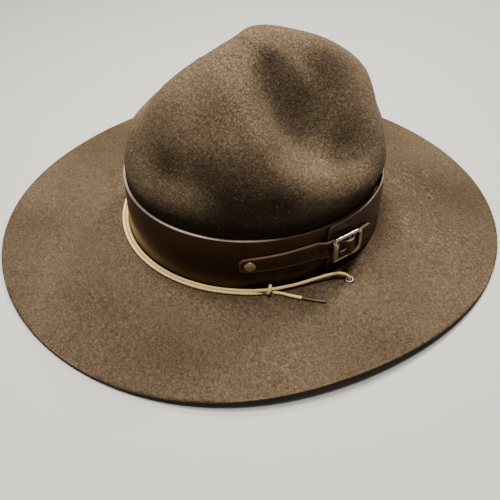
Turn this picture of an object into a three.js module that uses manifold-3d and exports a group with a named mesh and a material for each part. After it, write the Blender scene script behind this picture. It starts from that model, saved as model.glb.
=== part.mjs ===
// A campaign hat at rest on a level surface, in millimetres.
// The wearer's left is +X, the front is -Y, up is +Z, and the surface is z = 0.
// Round the hat, an angle of 0 is the wearer's left and 90 degrees is the rear.
import * as THREE from 'three';
import Module from 'manifold-3d';

const wasm = await Module();
wasm.setup();

// Felt body
const FELT_WALL = 2.2;
const BRIM_TOP = 8.1;
const CROWN_HALF_WIDTH = 91.6;
const CROWN_HALF_LENGTH = 100.2;
const MEAN_RADIUS = 95;
const FOOT_FILLET = 0.8;
const FELT_RING_POINTS = 64;
const CROWN_DENT_RINGS = 16;
const CROWN_WALL_RINGS = 2;

// The open crown before it is dented: height above the brim, share of the head oval, and how far
// the section sits back. The last row is past the apex, so that the top comes out round.
const CROWN_SECTIONS = [
  { height: 0, scale: 1, rearward: 0 },
  { height: 22, scale: 0.984, rearward: 0 },
  { height: 45, scale: 0.967, rearward: 0 },
  { height: 54, scale: 0.981, rearward: 1.6 },
  { height: 64, scale: 0.952, rearward: 1.5 },
  { height: 75, scale: 0.929, rearward: 1.1 },
  { height: 87, scale: 0.875, rearward: 0.8 },
  { height: 98, scale: 0.82, rearward: 3.1 },
  { height: 108, scale: 0.745, rearward: 5.5 },
  { height: 117, scale: 0.629, rearward: 6.5 },
  { height: 125, scale: 0.482, rearward: 7 },
  { height: 132, scale: 0.313, rearward: 6.9 },
  { height: 137, scale: 0.177, rearward: 5.5 },
  { height: 140, scale: 0.096, rearward: 3.9 },
  { height: 140.8, scale: 0, rearward: 8 },
  { height: 140, scale: -0.096, rearward: 8 },
];
const APEX_ROW = CROWN_SECTIONS.length - 2;
const BAND_TOP_ROW = 2;

// One dent of the peak on each quarter: its floor's angle and depth at each height, how steeply
// its two sides rise, and how round its floor is.
const REAR_LEFT_DENT = [
  { height: 60, angle: 28.3, depth: 1.5, frontSlope: 0.18, rearSlope: 0.25, round: 14.5 },
  { height: 72, angle: 32.8, depth: 9, frontSlope: 0.2, rearSlope: 0.34, round: 12.8 },
  { height: 82, angle: 25.8, depth: 15.5, frontSlope: 0.4, rearSlope: 0.38, round: 16.1 },
  { height: 94, angle: 12.8, depth: 25.5, frontSlope: 0.95, rearSlope: 0.36, round: 12.5 },
  { height: 106, angle: 8.6, depth: 29.3, frontSlope: 1.12, rearSlope: 0.37, round: 13.4 },
  { height: 117, angle: 7.4, depth: 28.9, frontSlope: 1.18, rearSlope: 0.45, round: 14.9 },
  { height: 126, angle: 6.5, depth: 22.3, frontSlope: 1.19, rearSlope: 0.59, round: 16.1 },
  { height: 134, angle: 3.5, depth: 7.3, frontSlope: 1.12, rearSlope: 0.62, round: 12.9 },
  { height: 141, angle: 5.4, depth: -9.4, frontSlope: 1.04, rearSlope: 0.5, round: 3.5 },
];
const FRONT_LEFT_DENT = [
  { height: 54, angle: -67.1, depth: 4, frontSlope: 0.32, rearSlope: 0.36, round: 14.2 },
  { height: 63, angle: -67.9, depth: 2.1, frontSlope: 0.19, rearSlope: 0.2, round: 15.2 },
  { height: 72, angle: -62, depth: 6.4, frontSlope: 0.13, rearSlope: 0.24, round: 14.7 },
  { height: 82, angle: -59.5, depth: 8.2, frontSlope: 0.1, rearSlope: 0.29, round: 14.8 },
  { height: 93, angle: -62, depth: 7.1, frontSlope: 0.1, rearSlope: 0.21, round: 15.2 },
  { height: 105, angle: -56.9, depth: 6.9, frontSlope: 0.15, rearSlope: 0.27, round: 16.1 },
  { height: 120, angle: -60.8, depth: 5, frontSlope: 0.33, rearSlope: 0.33, round: 13.1 },
  { height: 141, angle: -71.4, depth: -11.5, frontSlope: 0.53, rearSlope: 0.49, round: 4.7 },
];
const FRONT_RIGHT_DENT = [
  { height: 58, angle: -133.3, depth: -9.1, frontSlope: 0.25, rearSlope: 0.25, round: 16 },
  { height: 72, angle: -127.6, depth: -2, frontSlope: 0.25, rearSlope: 0.25, round: 16 },
  { height: 86, angle: -131.1, depth: 9.8, frontSlope: 0.25, rearSlope: 0.25, round: 16 },
  { height: 100, angle: -135.5, depth: 12.2, frontSlope: 0.25, rearSlope: 0.25, round: 16 },
  { height: 114, angle: -137, depth: 12.1, frontSlope: 0.25, rearSlope: 0.25, round: 14 },
  { height: 128, angle: -143.4, depth: 7.8, frontSlope: 0.25, rearSlope: 0.25, round: 12 },
  { height: 141, angle: -117.8, depth: -4, frontSlope: 0.4, rearSlope: 0.4, round: 5 },
];
const DENTS = [REAR_LEFT_DENT, FRONT_LEFT_DENT, FRONT_RIGHT_DENT, acrossTheHat(REAR_LEFT_DENT)];
const DENT_SOFTNESS = 2;
const DENT_FADE_HEIGHT = 14;

// Soft ridges and hollows between the dents: where each lies, how far its length is turned from
// level, half its length and width, and how far it stands out.
const SMALL_FOLDS = [
  { angle: 30.7, share: 0.847, turn: -75, length: 9.2, width: 5.7, rise: 1.1 },
  { angle: 42.7, share: 0.865, turn: -83, length: 22.6, width: 10.7, rise: -4.7 },
  { angle: -11.5, share: 0.72, turn: -73, length: 31.4, width: 7, rise: -3.1 },
  { angle: 34.4, share: 0.461, turn: -38, length: 20.7, width: 9.3, rise: -0.8 },
  { angle: 51, share: 0.529, turn: -71, length: 17.8, width: 9.9, rise: 1.1 },
  { angle: 24.8, share: 0.404, turn: -21, length: 28.5, width: 6.6, rise: -2.4 },
  { angle: -50.6, share: 0.471, turn: -3, length: 20.5, width: 10.1, rise: -1.2 },
  { angle: -53.5, share: 0.358, turn: 34, length: 22.8, width: 9.9, rise: -1 },
  { angle: 10.8, share: 0.819, turn: -42, length: 11.5, width: 9.2, rise: -1.1 },
  { angle: 18.6, share: 0.656, turn: -69, length: 23.7, width: 8.3, rise: 0.4 },
  { angle: -48.8, share: 0.705, turn: -41, length: 17.4, width: 9.4, rise: 1.5 },
  { angle: -16.5, share: 0.513, turn: -52, length: 19.4, width: 6.6, rise: -1.1 },
  { angle: -28.3, share: 0.343, turn: 17, length: 21, width: 10.9, rise: 3 },
  { angle: -63.2, share: 0.636, turn: -6, length: 11.3, width: 12.2, rise: 0.3 },
];

// Brim: width outside the crown's foot and height of its edge, as waves round the hat.
// A wave of count n goes n times round, and its two values multiply the cosine and the sine.
const BRIM_WIDTH = 91.4;
const BRIM_WIDTH_WAVES = [
  { count: 1, cosine: -0.5, sine: -0.8 },
  { count: 2, cosine: -8.2, sine: 1.7 },
  { count: 3, cosine: -0.2, sine: 0.9 },
  { count: 4, cosine: -0.9, sine: -1.9 },
];
const BRIM_EDGE_DROP = 3.5;
const BRIM_EDGE_WAVES = [
  { count: 2, cosine: 3.2, sine: 0 },
  { count: 4, cosine: 1.2, sine: 0 },
];
const BRIM_FLAT_SHARE = 0.16;
const BRIM_CURL = 1.5;
const BRIM_STEPS = [0, 0.16, 0.34, 0.52, 0.7, 0.85, 0.96];
const UNDERSIDE_STEPS = [0.96, 0.76, 0.52, 0.3, 0.16, 0];
const EDGE_BEVEL = 0.5;

// Leather band, lapped over its own start under the strap
const CLEARANCE = 0.3;
const BAND_THICKNESS = 2;
const BAND_FOOT = 1.5;
const BAND_HEIGHT = 45;
const BAND_GAP = 0.4;
const BAND_FACE = BAND_GAP + BAND_THICKNESS;
const LAP_INNER_END = 46;
const LAP_OUTER_END = 11;
const LAP_RAMP = 22;
const BAND_STEPS = 78;

// Strap and buckle, as angles round the band and heights on it: the strap's middle line, half its
// width there, and how far it is lifted off the band's lower layer
const STRAP_THICKNESS = 1.6;
const STRAP_STEP = 1.9;
const STRAP_ROWS = [
  { angle: -24.4, height: 24.4, half: 5, lift: 0 },
  { angle: -20, height: 25.2, half: 6, lift: 0 },
  { angle: -14, height: 26.1, half: 6.4, lift: 0 },
  { angle: 0, height: 27.7, half: 6.9, lift: 0 },
  { angle: 6, height: 27.9, half: 6.9, lift: 0.1 },
  { angle: 9.6, height: 27.8, half: 6.8, lift: 2.5 },
  { angle: 12.6, height: 27.4, half: 6.7, lift: 2.5 },
  { angle: 18.4, height: 26.6, half: 6.6, lift: 7.9 },
  { angle: 24.6, height: 25.6, half: 6.5, lift: 3.9 },
  { angle: 28, height: 24.9, half: 6.4, lift: 3.9 },
  { angle: 34.2, height: 23.4, half: 5.8, lift: 3.9 },
];
const STRAP_START = STRAP_ROWS[0].angle;
const STRAP_END = STRAP_ROWS[STRAP_ROWS.length - 1].angle;
const STRAP_POINT_LENGTH = 4.5;
const STRAP_POINT_INSET = 3.4;
const STRAP_HOLE_RADIUS = 1.1;
const STRAP_HOLES = [3.8, 7.6];
const BUCKLE_ANGLE = 18.6;
const BUCKLE_LENGTH = 21.4;
const BUCKLE_RAIL = 9.5;
const BUCKLE_CORNER = 4;
const BUCKLE_WIRE_RADIUS = 1.1;
const ROLLER_BAR_RADIUS = 0.8;
const ROLLER_RADIUS = 2.1;
const ROLLER_HALF_LENGTH = 6.9;
const ROLLER_LIFT = 9.4;
const FAR_BAR_LIFT = 9.7;
const RAIL_BOW = -0.5;
const MIDDLE_BAR_RADIUS = 0.9;
const MIDDLE_BAR_LIFT = 7.9;
const MIDDLE_BAR_HALF_LENGTH = 6.8;
const PRONG_RADIUS = 0.8;
const PRONG_TURNS = [-5, -50, -95, -140, 180];
const PRONG_REACH = [
  { along: -2.7, lift: 9.4 },
  { along: -4.3, lift: 10.8 },
  { along: -6.4, lift: 11.5 },
  { along: -8.3, lift: 11.55 },
];
const LAP_FACE = BAND_FACE + BAND_THICKNESS + CLEARANCE + 0.1;
const KEEPER_HALF_WIDTH = 5.2;
const KEEPER_THICKNESS = 1;
const KEEPER_LENGTH = 21;
const KEEPER_RETURN = 6.6;
const RIVET = { angle: -20.4, height: 25.2, radius: 4.1, rise: 1.2, postRadius: 1.2 };
const ANGLE_PER_MM = 0.573;

// Eyelets and cord. The cord's places are angles, distances out from the felt wall and heights
// above the brim. On the wearer's right they are the same across the hat.
const EYELET = {
  angle: 17.4, offset: 16.5, outerRadius: 3.4, innerRadius: 1.7, outerBarrel: 2.2, flange: 0.6,
};
const CORD_RADIUS = 1.1;
const CORD_SIDES = 8;
const CORD_PITCH = 2 * CORD_RADIUS + CLEARANCE;
const CORD_REST = CORD_RADIUS + CLEARANCE;
const INNER_TRACK = BAND_GAP + BAND_THICKNESS + 2 * CLEARANCE + CORD_RADIUS;
const OUTER_TRACK = INNER_TRACK + CORD_PITCH;
const WRAP_STEPS = 10;
const WRAP_FRONT = -14;
const WRAP_REAR = -11.7;
const PARTING_ANGLE = 7;
const STRAND_STEP = 10;
const CORD_TAIL = [
  { angle: -9.9, offset: 8.2, height: CORD_REST },
  { angle: -6.4, offset: 11.7, height: CORD_REST },
  { angle: -2.4, offset: 16.4, height: CORD_REST },
];
const CORD_TIP = [
  { angle: -2.2, offset: 16.7, height: CORD_REST },
  { angle: 1.2, offset: 21.1, height: 1.15 },
  { angle: 4.4, offset: 25.4, height: 1.15 },
];
const CORD_TIP_RADIUS = 0.75;
const CORD_ARCH = [
  { angle: -9, offset: 6, height: 3.6 },
  { angle: -4, offset: 5.7, height: 3.2 },
  { angle: 2, offset: 6, height: 3.6 },
  { angle: 7, offset: 7.2, height: 4.6 },
  { angle: 11.6, offset: 9.4, height: 5.6 },
  { angle: 15, offset: 12.6, height: 5.6 },
  { angle: 16.9, offset: 15.5, height: 3.6 },
  { angle: 17.4, offset: 16.5, height: 0.6 },
  { angle: 17.4, offset: 16.5, height: -2.9 },
];
const CORD_BELOW = [
  { angle: 18.2, offset: 16.3, height: -5.8 },
  { angle: 21.4, offset: 15.4, height: -6.9 },
  { angle: 31, offset: 12.4, height: -6.9 },
  { angle: 43, offset: 9.8, height: -6.9 },
  { angle: 58, offset: 8, height: -6.9 },
  { angle: 74, offset: 7.6, height: -6.9 },
];

const FELT_COLOUR = 0x5c4a3b;
const BAND_COLOUR = 0x2f1f19;
const STRAP_COLOUR = 0x35241c;
const NICKEL_COLOUR = 0xb9b6ae;
const BRASS_COLOUR = 0x8d7c62;
const CORD_COLOUR = 0xa98a5c;
const TIP_COLOUR = 0x2a1c12;

function acrossTheHat(rows) {
  return rows.map((row) => ({
    ...row,
    angle: 180 - row.angle,
    frontSlope: row.rearSlope,
    rearSlope: row.frontSlope,
  }));
}

// A natural cubic spline through the points (xs, ys).
function spline(xs, ys) {
  const last = xs.length - 1;
  const bend = new Array(last + 1).fill(0);
  const sweep = new Array(last + 1).fill(0);
  for (let i = 1; i < last; i += 1) {
    const share = (xs[i] - xs[i - 1]) / (xs[i + 1] - xs[i - 1]);
    const pivot = share * bend[i - 1] + 2;
    const rise = (ys[i + 1] - ys[i]) / (xs[i + 1] - xs[i]);
    const before = (ys[i] - ys[i - 1]) / (xs[i] - xs[i - 1]);
    bend[i] = (share - 1) / pivot;
    sweep[i] = ((6 * (rise - before)) / (xs[i + 1] - xs[i - 1]) - share * sweep[i - 1]) / pivot;
  }
  bend[last] = 0;
  for (let i = last - 1; i >= 0; i -= 1) {
    bend[i] = bend[i] * bend[i + 1] + sweep[i];
  }
  return (x) => {
    let i = 0;
    while (i < last - 1 && x > xs[i + 1]) {
      i += 1;
    }
    const width = xs[i + 1] - xs[i];
    const a = (xs[i + 1] - x) / width;
    const b = (x - xs[i]) / width;
    const curve = (a * a * a - a) * bend[i] + (b * b * b - b) * bend[i + 1];
    return a * ys[i] + b * ys[i + 1] + (curve * width * width) / 6;
  };
}

function columnSpline(rows, keys, column) {
  return spline(keys, rows.map((row) => row[column]));
}

// How far along the crown's profile each row lies, from the foot up.
function profileRun() {
  const keys = [0];
  for (let i = 1; i < CROWN_SECTIONS.length; i += 1) {
    const rise = CROWN_SECTIONS[i].height - CROWN_SECTIONS[i - 1].height;
    const inward = (CROWN_SECTIONS[i].scale - CROWN_SECTIONS[i - 1].scale) * MEAN_RADIUS;
    keys.push(keys[i - 1] + Math.hypot(rise, inward));
  }
  return keys;
}

// Shares of the profile go from 0 at the foot to 1 at the apex.
const PROFILE_RUN = profileRun();
const PROFILE_LENGTH = PROFILE_RUN[APEX_ROW];
const CROWN_KEYS = PROFILE_RUN.map((key) => key / PROFILE_LENGTH);
const crownHeight = columnSpline(CROWN_SECTIONS, CROWN_KEYS, 'height');
const crownScale = columnSpline(CROWN_SECTIONS, CROWN_KEYS, 'scale');
const crownRearward = columnSpline(CROWN_SECTIONS, CROWN_KEYS, 'rearward');
const DENT_SHAPES = DENTS.map((rows) => {
  const heights = rows.map((row) => row.height);
  const shape = { low: heights[0], high: heights[heights.length - 1] };
  for (const column of ['angle', 'depth', 'frontSlope', 'rearSlope', 'round']) {
    shape[column] = columnSpline(rows, heights, column);
  }
  return shape;
});

// How far a dent pushes the crown in, at an angle and height and a radius there.
function dentPush(dent, angle, height, radius) {
  const at = THREE.MathUtils.clamp(height, dent.low, dent.high);
  const turn = angle - THREE.MathUtils.degToRad(dent.angle(at));
  const away = Math.atan2(Math.sin(turn), Math.cos(turn)) * Math.max(radius, 6);
  const rearShare = 0.5 + 0.5 * Math.tanh(away / 10);
  const slope = dent.frontSlope(at) * (1 - rearShare) + dent.rearSlope(at) * rearShare;
  const round = dent.round(at);
  const fall = dent.depth(at) - slope * (Math.hypot(away, round) - round);
  const soft = DENT_SOFTNESS * Math.log1p(Math.exp(THREE.MathUtils.clamp(fall / DENT_SOFTNESS, -40, 40)));
  return soft * THREE.MathUtils.smoothstep(height, dent.low, dent.low + DENT_FADE_HEIGHT);
}

// How far the small folds stand out of the crown at an angle and share of the profile.
function foldRise(angle, share, radius) {
  let rise = 0;
  for (const fold of SMALL_FOLDS) {
    const turn = angle - THREE.MathUtils.degToRad(fold.angle);
    const round = Math.atan2(Math.sin(turn), Math.cos(turn)) * Math.max(radius, 6);
    const up = (share - fold.share) * PROFILE_LENGTH;
    const tilt = THREE.MathUtils.degToRad(fold.turn);
    const along = round * Math.cos(tilt) + up * Math.sin(tilt);
    const beside = up * Math.cos(tilt) - round * Math.sin(tilt);
    rise += fold.rise * Math.exp(-((along / fold.length) ** 2) - (beside / fold.width) ** 2);
  }
  return rise;
}

// A point on the outside of the crown: angle in radians, and share of the profile.
function crownPoint(angle, share) {
  const step = 1e-4;
  const height = crownHeight(share);
  const scale = crownScale(share);
  const rise = (crownHeight(share + step) - crownHeight(share - step)) / (2 * step);
  const inward = ((crownScale(share + step) - crownScale(share - step)) / (2 * step)) * MEAN_RADIUS;
  const length = Math.hypot(rise, inward);
  let push = -foldRise(angle, share, scale * MEAN_RADIUS);
  for (const dent of DENT_SHAPES) {
    push += dentPush(dent, angle, height, scale * MEAN_RADIUS);
  }
  const outward = (push * rise) / length;
  const x = (CROWN_HALF_WIDTH * scale - outward) * Math.cos(angle);
  const y = (CROWN_HALF_LENGTH * scale - outward) * Math.sin(angle) + crownRearward(share);
  return new THREE.Vector3(x, y, BRIM_TOP + height + (push * inward) / length);
}

// The same point moved in along the normal by the felt's thickness.
function crownInside(angle, share) {
  const step = 2e-3;
  const round = crownPoint(angle + step, share).sub(crownPoint(angle - step, share));
  const up = crownPoint(angle, share + step).sub(crownPoint(angle, share - step));
  const normal = round.cross(up).normalize();
  return crownPoint(angle, share).addScaledVector(normal, -FELT_WALL);
}

// A point beside the band's part of the crown: angle in degrees, distance out from the felt, and
// height above the brim.
function besideWall(degrees, offset, height) {
  const angle = THREE.MathUtils.degToRad(degrees);
  const taper = CROWN_SECTIONS[BAND_TOP_ROW];
  const scale = 1 - ((1 - taper.scale) * THREE.MathUtils.clamp(height, 0, taper.height)) / taper.height;
  const normal = new THREE.Vector3(
    CROWN_HALF_LENGTH * Math.cos(angle),
    CROWN_HALF_WIDTH * Math.sin(angle),
    0,
  ).normalize();
  const x = CROWN_HALF_WIDTH * scale * Math.cos(angle);
  const y = CROWN_HALF_LENGTH * scale * Math.sin(angle);
  return new THREE.Vector3(x, y, BRIM_TOP + height).addScaledVector(normal, offset);
}

function waves(rows, angle) {
  let total = 0;
  for (const row of rows) {
    total += row.cosine * Math.cos(row.count * angle) + row.sine * Math.sin(row.count * angle);
  }
  return total;
}

// A point on the top of the brim, from share 0 at the crown's foot to 1 at the edge.
function brimPoint(angle, share, below = 0, inset = 0) {
  const width = BRIM_WIDTH + waves(BRIM_WIDTH_WAVES, angle);
  const edge = waves(BRIM_EDGE_WAVES, angle) - BRIM_EDGE_DROP;
  const bent = Math.max(share - BRIM_FLAT_SHARE, 0) / (1 - BRIM_FLAT_SHARE);
  const offset = FOOT_FILLET + (width - FOOT_FILLET) * share - inset;
  const height = edge * bent ** BRIM_CURL - below;
  return besideWall(THREE.MathUtils.radToDeg(angle), offset, 0).setZ(BRIM_TOP + height);
}

// One closed body through a list of rings that all have the same number of points. From one ring on,
// the quads are split along their other diagonal.
function skin(rings, turnedFrom = rings.length) {
  const count = rings[0].length;
  const positions = [];
  const faces = [];
  for (const ring of rings) {
    for (const point of ring) {
      positions.push(point.x, point.y, point.z);
    }
  }
  for (let i = 0; i < rings.length - 1; i += 1) {
    for (let j = 0; j < count; j += 1) {
      const here = i * count + j;
      const beside = i * count + ((j + 1) % count);
      if (i < turnedFrom) {
        faces.push(here, here + count, beside + count, here, beside + count, beside);
      } else {
        faces.push(here, here + count, beside, here + count, beside + count, beside);
      }
    }
  }
  for (const [ring, turned] of [[0, true], [rings.length - 1, false]]) {
    const centre = new THREE.Vector3();
    for (const point of rings[ring]) {
      centre.add(point);
    }
    centre.divideScalar(count);
    const middle = positions.length / 3;
    positions.push(centre.x, centre.y, centre.z);
    for (let j = 0; j < count; j += 1) {
      const here = ring * count + j;
      const beside = ring * count + ((j + 1) % count);
      faces.push(middle, turned ? here : beside, turned ? beside : here);
    }
  }
  const geometry = new THREE.BufferGeometry();
  geometry.setAttribute('position', new THREE.Float32BufferAttribute(positions, 3));
  geometry.setIndex(faces);
  return geometry;
}

function ringAround(count, pointAt) {
  const ring = [];
  for (let i = 0; i < count; i += 1) {
    ring.push(pointAt((2 * Math.PI * i) / count));
  }
  return ring;
}

function mix(from, to, share) {
  return from + (to - from) * share;
}

// Crown and brim are one felt body: down the outside, round the brim's edge and up the inside.
function crownShares() {
  const bandTop = CROWN_KEYS[BAND_TOP_ROW];
  const foot = (bandTop * (FOOT_FILLET + 0.6)) / BAND_HEIGHT;
  const shares = [];
  for (let i = 0; i < CROWN_DENT_RINGS; i += 1) {
    shares.push(mix(0.985, bandTop, i / (CROWN_DENT_RINGS - 1)));
  }
  for (let i = 1; i <= CROWN_WALL_RINGS; i += 1) {
    shares.push(mix(bandTop, foot, i / CROWN_WALL_RINGS));
  }
  return shares;
}

function feltBody() {
  const rings = [];
  const add = (pointAt) => rings.push(ringAround(FELT_RING_POINTS, pointAt));
  for (const share of crownShares()) {
    add((angle) => crownPoint(angle, share));
  }
  for (const share of BRIM_STEPS) {
    add((angle) => brimPoint(angle, share));
  }
  add((angle) => brimPoint(angle, 1, 0, EDGE_BEVEL));
  add((angle) => brimPoint(angle, 1, EDGE_BEVEL));
  add((angle) => brimPoint(angle, 1, FELT_WALL - EDGE_BEVEL));
  add((angle) => brimPoint(angle, 1, FELT_WALL, EDGE_BEVEL));
  for (const share of UNDERSIDE_STEPS) {
    add((angle) => brimPoint(angle, share, FELT_WALL));
  }
  add((angle) => brimPoint(angle, 0, 0.72 * FELT_WALL, FOOT_FILLET + 0.72 * FELT_WALL));
  const insideStart = rings.length;
  for (const share of crownShares().reverse()) {
    add((angle) => crownInside(angle, share));
  }
  let body = toManifold(skin(rings, insideStart));
  for (const angle of [EYELET.angle, 180 - EYELET.angle]) {
    const hole = eyeletColumn(angle, EYELET.outerBarrel + CLEARANCE, 4, 12);
    body = body.subtract(toManifold(hole));
  }
  return fromManifold(body);
}

// An upright column through the brim at an eyelet, reaching as far above it as below it.
function eyeletColumn(angle, radius, reach, sides) {
  const centre = besideWall(angle, EYELET.offset, -FELT_WALL / 2);
  const ends = [reach, -reach].map((up) => centre.clone().add(new THREE.Vector3(0, 0, up)));
  return rod(ends, radius, sides);
}

function band() {
  const sweep = 360 + LAP_INNER_END - LAP_OUTER_END;
  const rings = [];
  for (let i = 0; i <= BAND_STEPS; i += 1) {
    const turned = (sweep * i) / BAND_STEPS;
    const angle = LAP_INNER_END - turned;
    const lap = THREE.MathUtils.smoothstep(turned, 360 - LAP_RAMP, 358);
    const inner = BAND_GAP + lap * (BAND_THICKNESS + CLEARANCE + 0.1);
    const outer = inner + BAND_THICKNESS;
    const section = [[inner, BAND_FOOT], [outer, BAND_FOOT], [outer, BAND_HEIGHT], [inner, BAND_HEIGHT]];
    rings.push(section.map(([offset, height]) => besideWall(angle, offset, height)));
  }
  const body = toManifold(skin(rings.reverse()));
  return fromManifold(body.subtract(toManifold(rivetPost(RIVET.postRadius + CLEARANCE, 3))));
}

const STRAP_ANGLES = STRAP_ROWS.map((row) => row.angle);
const strapHeight = columnSpline(STRAP_ROWS, STRAP_ANGLES, 'height');
const strapHalf = columnSpline(STRAP_ROWS, STRAP_ANGLES, 'half');

// The strap's lift over the band's lower layer, eased from each row to the next.
function strapLift(angle) {
  let i = 0;
  while (i < STRAP_ROWS.length - 2 && angle > STRAP_ROWS[i + 1].angle) {
    i += 1;
  }
  const share = THREE.MathUtils.smoothstep(angle, STRAP_ROWS[i].angle, STRAP_ROWS[i + 1].angle);
  return mix(STRAP_ROWS[i].lift, STRAP_ROWS[i + 1].lift, share);
}

function strap() {
  const rings = [];
  const steps = Math.round((STRAP_END - STRAP_START) / STRAP_STEP);
  for (let i = 0; i <= steps; i += 1) {
    const angle = mix(STRAP_START, STRAP_END, i / steps);
    const fromStart = (angle - STRAP_START) / ANGLE_PER_MM;
    const fromEnd = (STRAP_END - angle) / ANGLE_PER_MM;
    const startCut = 2 * Math.max(0, 1 - fromStart / 2);
    const endCut = STRAP_POINT_INSET * Math.max(0, 1 - fromEnd / STRAP_POINT_LENGTH) ** 2;
    const half = strapHalf(angle) - Math.max(startCut, endCut);
    const low = strapHeight(angle) - half;
    const high = strapHeight(angle) + half;
    const inner = BAND_FACE + CLEARANCE + strapLift(angle);
    const outer = inner + STRAP_THICKNESS;
    const section = [[inner, low], [outer, low], [outer, high], [inner, high]];
    rings.push(section.map(([offset, height]) => besideWall(angle, offset, height)));
  }
  let body = toManifold(skin(rings));
  for (const angle of STRAP_HOLES) {
    const hole = [1, 8].map((offset) => besideWall(angle, offset, strapHeight(angle)));
    body = body.subtract(toManifold(rod(hole, STRAP_HOLE_RADIUS, 8)));
  }
  body = body.subtract(toManifold(rivetPost(RIVET.postRadius + CLEARANCE, 3)));
  body = body.subtract(toManifold(prongRod(PRONG_RADIUS + CLEARANCE + 0.1, [70, 32, ...PRONG_TURNS])));
  return fromManifold(body);
}

// A point by the buckle: millimetres along the strap from the buckle's middle, out from the felt,
// and up from the strap's middle.
function byBuckle(along, offset, up) {
  const angle = BUCKLE_ANGLE + along * ANGLE_PER_MM;
  return besideWall(angle, offset, strapHeight(angle) + up);
}

// A rod along a path of points, each with its own radius.
function rod(path, radii, sides) {
  const rings = [];
  let across = new THREE.Vector3(0, 0, 1);
  for (let i = 0; i < path.length; i += 1) {
    const ahead = path[Math.min(i + 1, path.length - 1)];
    const behind = path[Math.max(i - 1, 0)];
    const along = ahead.clone().sub(behind).normalize();
    if (Math.abs(along.dot(across)) > 0.9) {
      across = new THREE.Vector3(1, 0, 0);
    }
    across = across.clone().addScaledVector(along, -along.dot(across)).normalize();
    const other = along.clone().cross(across);
    const radius = Array.isArray(radii) ? radii[i] : radii;
    rings.push(ringAround(sides, (turn) => path[i].clone()
      .addScaledVector(across, radius * Math.cos(turn))
      .addScaledVector(other, -radius * Math.sin(turn))));
  }
  return skin(rings);
}

// The lift of the frame's rails from the roller's bar to the far bar. The frame is flat, so between
// them it comes nearer the round hat.
function railLift(along) {
  const share = along / BUCKLE_LENGTH + 0.5;
  return mix(ROLLER_LIFT, FAR_BAR_LIFT, share) + RAIL_BOW * Math.sin(Math.PI * share);
}

function toManifold(geometry) {
  const mesh = new wasm.Mesh({
    numProp: 3,
    vertProperties: new Float32Array(geometry.getAttribute('position').array),
    triVerts: new Uint32Array(geometry.getIndex().array),
  });
  return new wasm.Manifold(mesh);
}

function fromManifold(body) {
  const mesh = body.getMesh();
  const geometry = new THREE.BufferGeometry();
  geometry.setAttribute('position', new THREE.Float32BufferAttribute(mesh.vertProperties, 3));
  geometry.setIndex(Array.from(mesh.triVerts));
  return geometry;
}

// The frame is one wire round three sides of the strap, with a thin bar for the roller across its
// open end and a bar lower down across its middle.
function buckleFrame() {
  const halfLength = BUCKLE_LENGTH / 2;
  const reach = halfLength - BUCKLE_CORNER;
  const inset = BUCKLE_RAIL - BUCKLE_CORNER;
  const quarter = [];
  for (let k = 0; k <= 3; k += 1) {
    const turn = (Math.PI / 6) * k;
    quarter.push([reach + BUCKLE_CORNER * Math.sin(turn), inset + BUCKLE_CORNER * Math.cos(turn)]);
  }
  const rail = [-halfLength - 0.9, -halfLength + 3, -halfLength + 7, 0, 4];
  const half = [...rail.map((along) => [along, BUCKLE_RAIL]), ...quarter];
  const outline = [...half, ...half.map(([along, up]) => [along, -up]).reverse()];
  const wire = rod(outline.map(([along, up]) => byBuckle(along, railLift(along), up)), BUCKLE_WIRE_RADIUS, 8);
  const rollerBar = [-1, 1].map((side) => byBuckle(-halfLength, ROLLER_LIFT, side * BUCKLE_RAIL));
  const middleBar = [
    byBuckle(0, railLift(0), -BUCKLE_RAIL),
    byBuckle(0, MIDDLE_BAR_LIFT, -MIDDLE_BAR_HALF_LENGTH),
    byBuckle(0, MIDDLE_BAR_LIFT, MIDDLE_BAR_HALF_LENGTH),
    byBuckle(0, railLift(0), BUCKLE_RAIL),
  ];
  const bars = [rod(rollerBar, ROLLER_BAR_RADIUS, 8), rod(middleBar, MIDDLE_BAR_RADIUS, 8)];
  return fromManifold(bars.reduce((body, bar) => body.add(toManifold(bar)), toManifold(wire)));
}

// A sleeve that turns on the frame's near bar.
function buckleRoller() {
  const middle = -BUCKLE_LENGTH / 2;
  const centre = byBuckle(middle, ROLLER_LIFT, 0);
  const axis = byBuckle(middle, ROLLER_LIFT, 1).sub(byBuckle(middle, ROLLER_LIFT, -1)).normalize();
  const inner = ROLLER_BAR_RADIUS + CLEARANCE + 0.05;
  const profile = [
    [inner, ROLLER_HALF_LENGTH],
    [ROLLER_RADIUS, ROLLER_HALF_LENGTH],
    [ROLLER_RADIUS, -ROLLER_HALF_LENGTH],
    [inner, -ROLLER_HALF_LENGTH],
  ];
  return turnedRing(centre, axis, profile, 14);
}

// The prong's rod, or the room it needs: its hook goes through turns round the middle bar.
function prongRod(radius, turns) {
  const hook = MIDDLE_BAR_RADIUS + CLEARANCE + PRONG_RADIUS;
  const path = [];
  for (const turn of turns) {
    const angle = THREE.MathUtils.degToRad(turn);
    path.push(byBuckle(hook * Math.cos(angle), MIDDLE_BAR_LIFT + hook * Math.sin(angle), 0));
  }
  for (const { along, lift } of PRONG_REACH) {
    path.push(byBuckle(along, lift, 0));
  }
  return rod(path, radius, 8);
}

// The prong hooks round the middle bar, comes up through the strap's hole and rests on the roller.
function buckleProng() {
  return prongRod(PRONG_RADIUS, PRONG_TURNS);
}

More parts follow.
